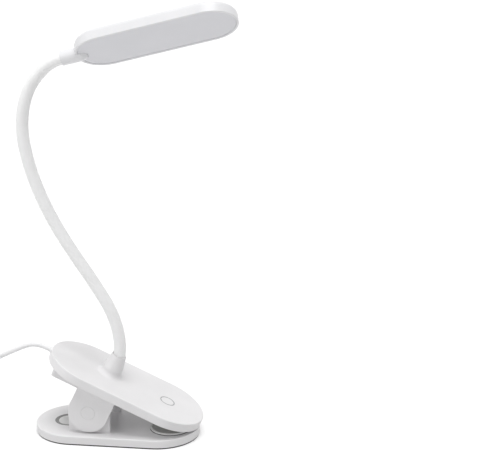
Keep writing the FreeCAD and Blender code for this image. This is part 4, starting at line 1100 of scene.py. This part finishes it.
def make_head():
    head_white = head_abs()
    dress(moulded("head_cover", head_white, 0.3 * MM), "head", "white_abs", "head_cover")
    dress(moulded("neck_socket", head_white, 0.25 * MM), "head", "white_abs", "neck_socket")
    dress(moulded("head_diffuser", opal_diffuser(), 0.2 * MM), "head", "frosted_diffuser",
          "head_diffuser")

    roof = 1.5 * MM
    gap_over_board = 0.7 * MM
    board = 1.0 * MM
    board_under = HEAD_HEIGHT - roof - gap_over_board - board
    first = -HEAD_LENGTH / 2 + 21.5 * MM
    last = HEAD_LENGTH / 2 - 16.5 * MM
    body = rounded_box("led_body", Vector((3.5, 2.8, 0.8)) * MM, Vector((0, 0, -0.4 * MM)), 0.1 * MM,
                       head_white, 2)
    lens = turned("led_lens", [(0, 0), (1.15 * MM, 0), (1.15 * MM, 0.12 * MM), (0.8 * MM, 0.2 * MM),
                               (0, 0.24 * MM)], head_white,
                  Matrix.Translation((0, 0, -0.8 * MM)) @ Matrix.Rotation(math.pi, 4, "X"), 20)
    for name, part, finish, slot, nodes in (
            ("led_bodies", body, reflector_film(), "reflector_film", ["leds"]),
            ("led_lenses", lens, led_phosphor(), "led", [])):
        rows = link(name + "_rows", bpy.data.meshes.new(name))
        set_inputs(rows, GRID, {"Part": part, "Count": 10, "Length": last - first,
                                "Width": 14 * MM, "Material": finish})
        made = evaluated(rows, name)
        made.data.transform(HEAD @ Matrix.Translation(((first + last) / 2, 0, board_under)))
        dress(made, "head", slot, *nodes)
        bpy.data.objects.remove(part)


def paint_nodes():
    """Finishes of the nodes whose own shape shows or lies inside."""
    finishes = {
        "white_abs": white_abs(), "steel": STEEL, "copper": copper_foil(),
        "circuit_board": solder_mask(), "components": chip_epoxy(),
        "led_board_metal": mask_on_aluminium(), "led": led_phosphor(),
        "reflector_film": reflector_film(), "wire_insulation": wire_insulation(),
        "white_silicone": LEAD_JACKET, "grip_silicone": LEAD_JACKET, "sole_rubber": LEAD_JACKET,
        "spring_steel": STEEL, "grey_ring": LEAD_JACKET, "frosted_diffuser": LEAD_JACKET,
        "lead_pvc": LEAD_JACKET, "plug_metal": STEEL, "tie_strap": LEAD_JACKET,
    }
    for part in frame["record"]["subparts"]:
        mesh = frame["nodes"][part["node"]].data
        mesh.materials.clear()
        mesh.materials.append(finishes[part["material_slot"]])


# ---------------------------------------------------------------- build

bpy.context.scene.view_settings.view_transform = "Standard"
place_camera()
make_room()
light_room()
HOSE = hose_tree()
GRID = grid_tree()
POINTS = points_tree()
LEAD_JACKET = lead_jacket()
STEEL = zinc_steel()
paint_nodes()
make_plug()
make_strap()
make_lead()
make_neck()
make_shells()
make_sole()
make_front_pad()
make_rear_pad()
make_upper_pad()
make_touch_ring()
make_lead_bush()
make_spring()
make_screws()
make_head()
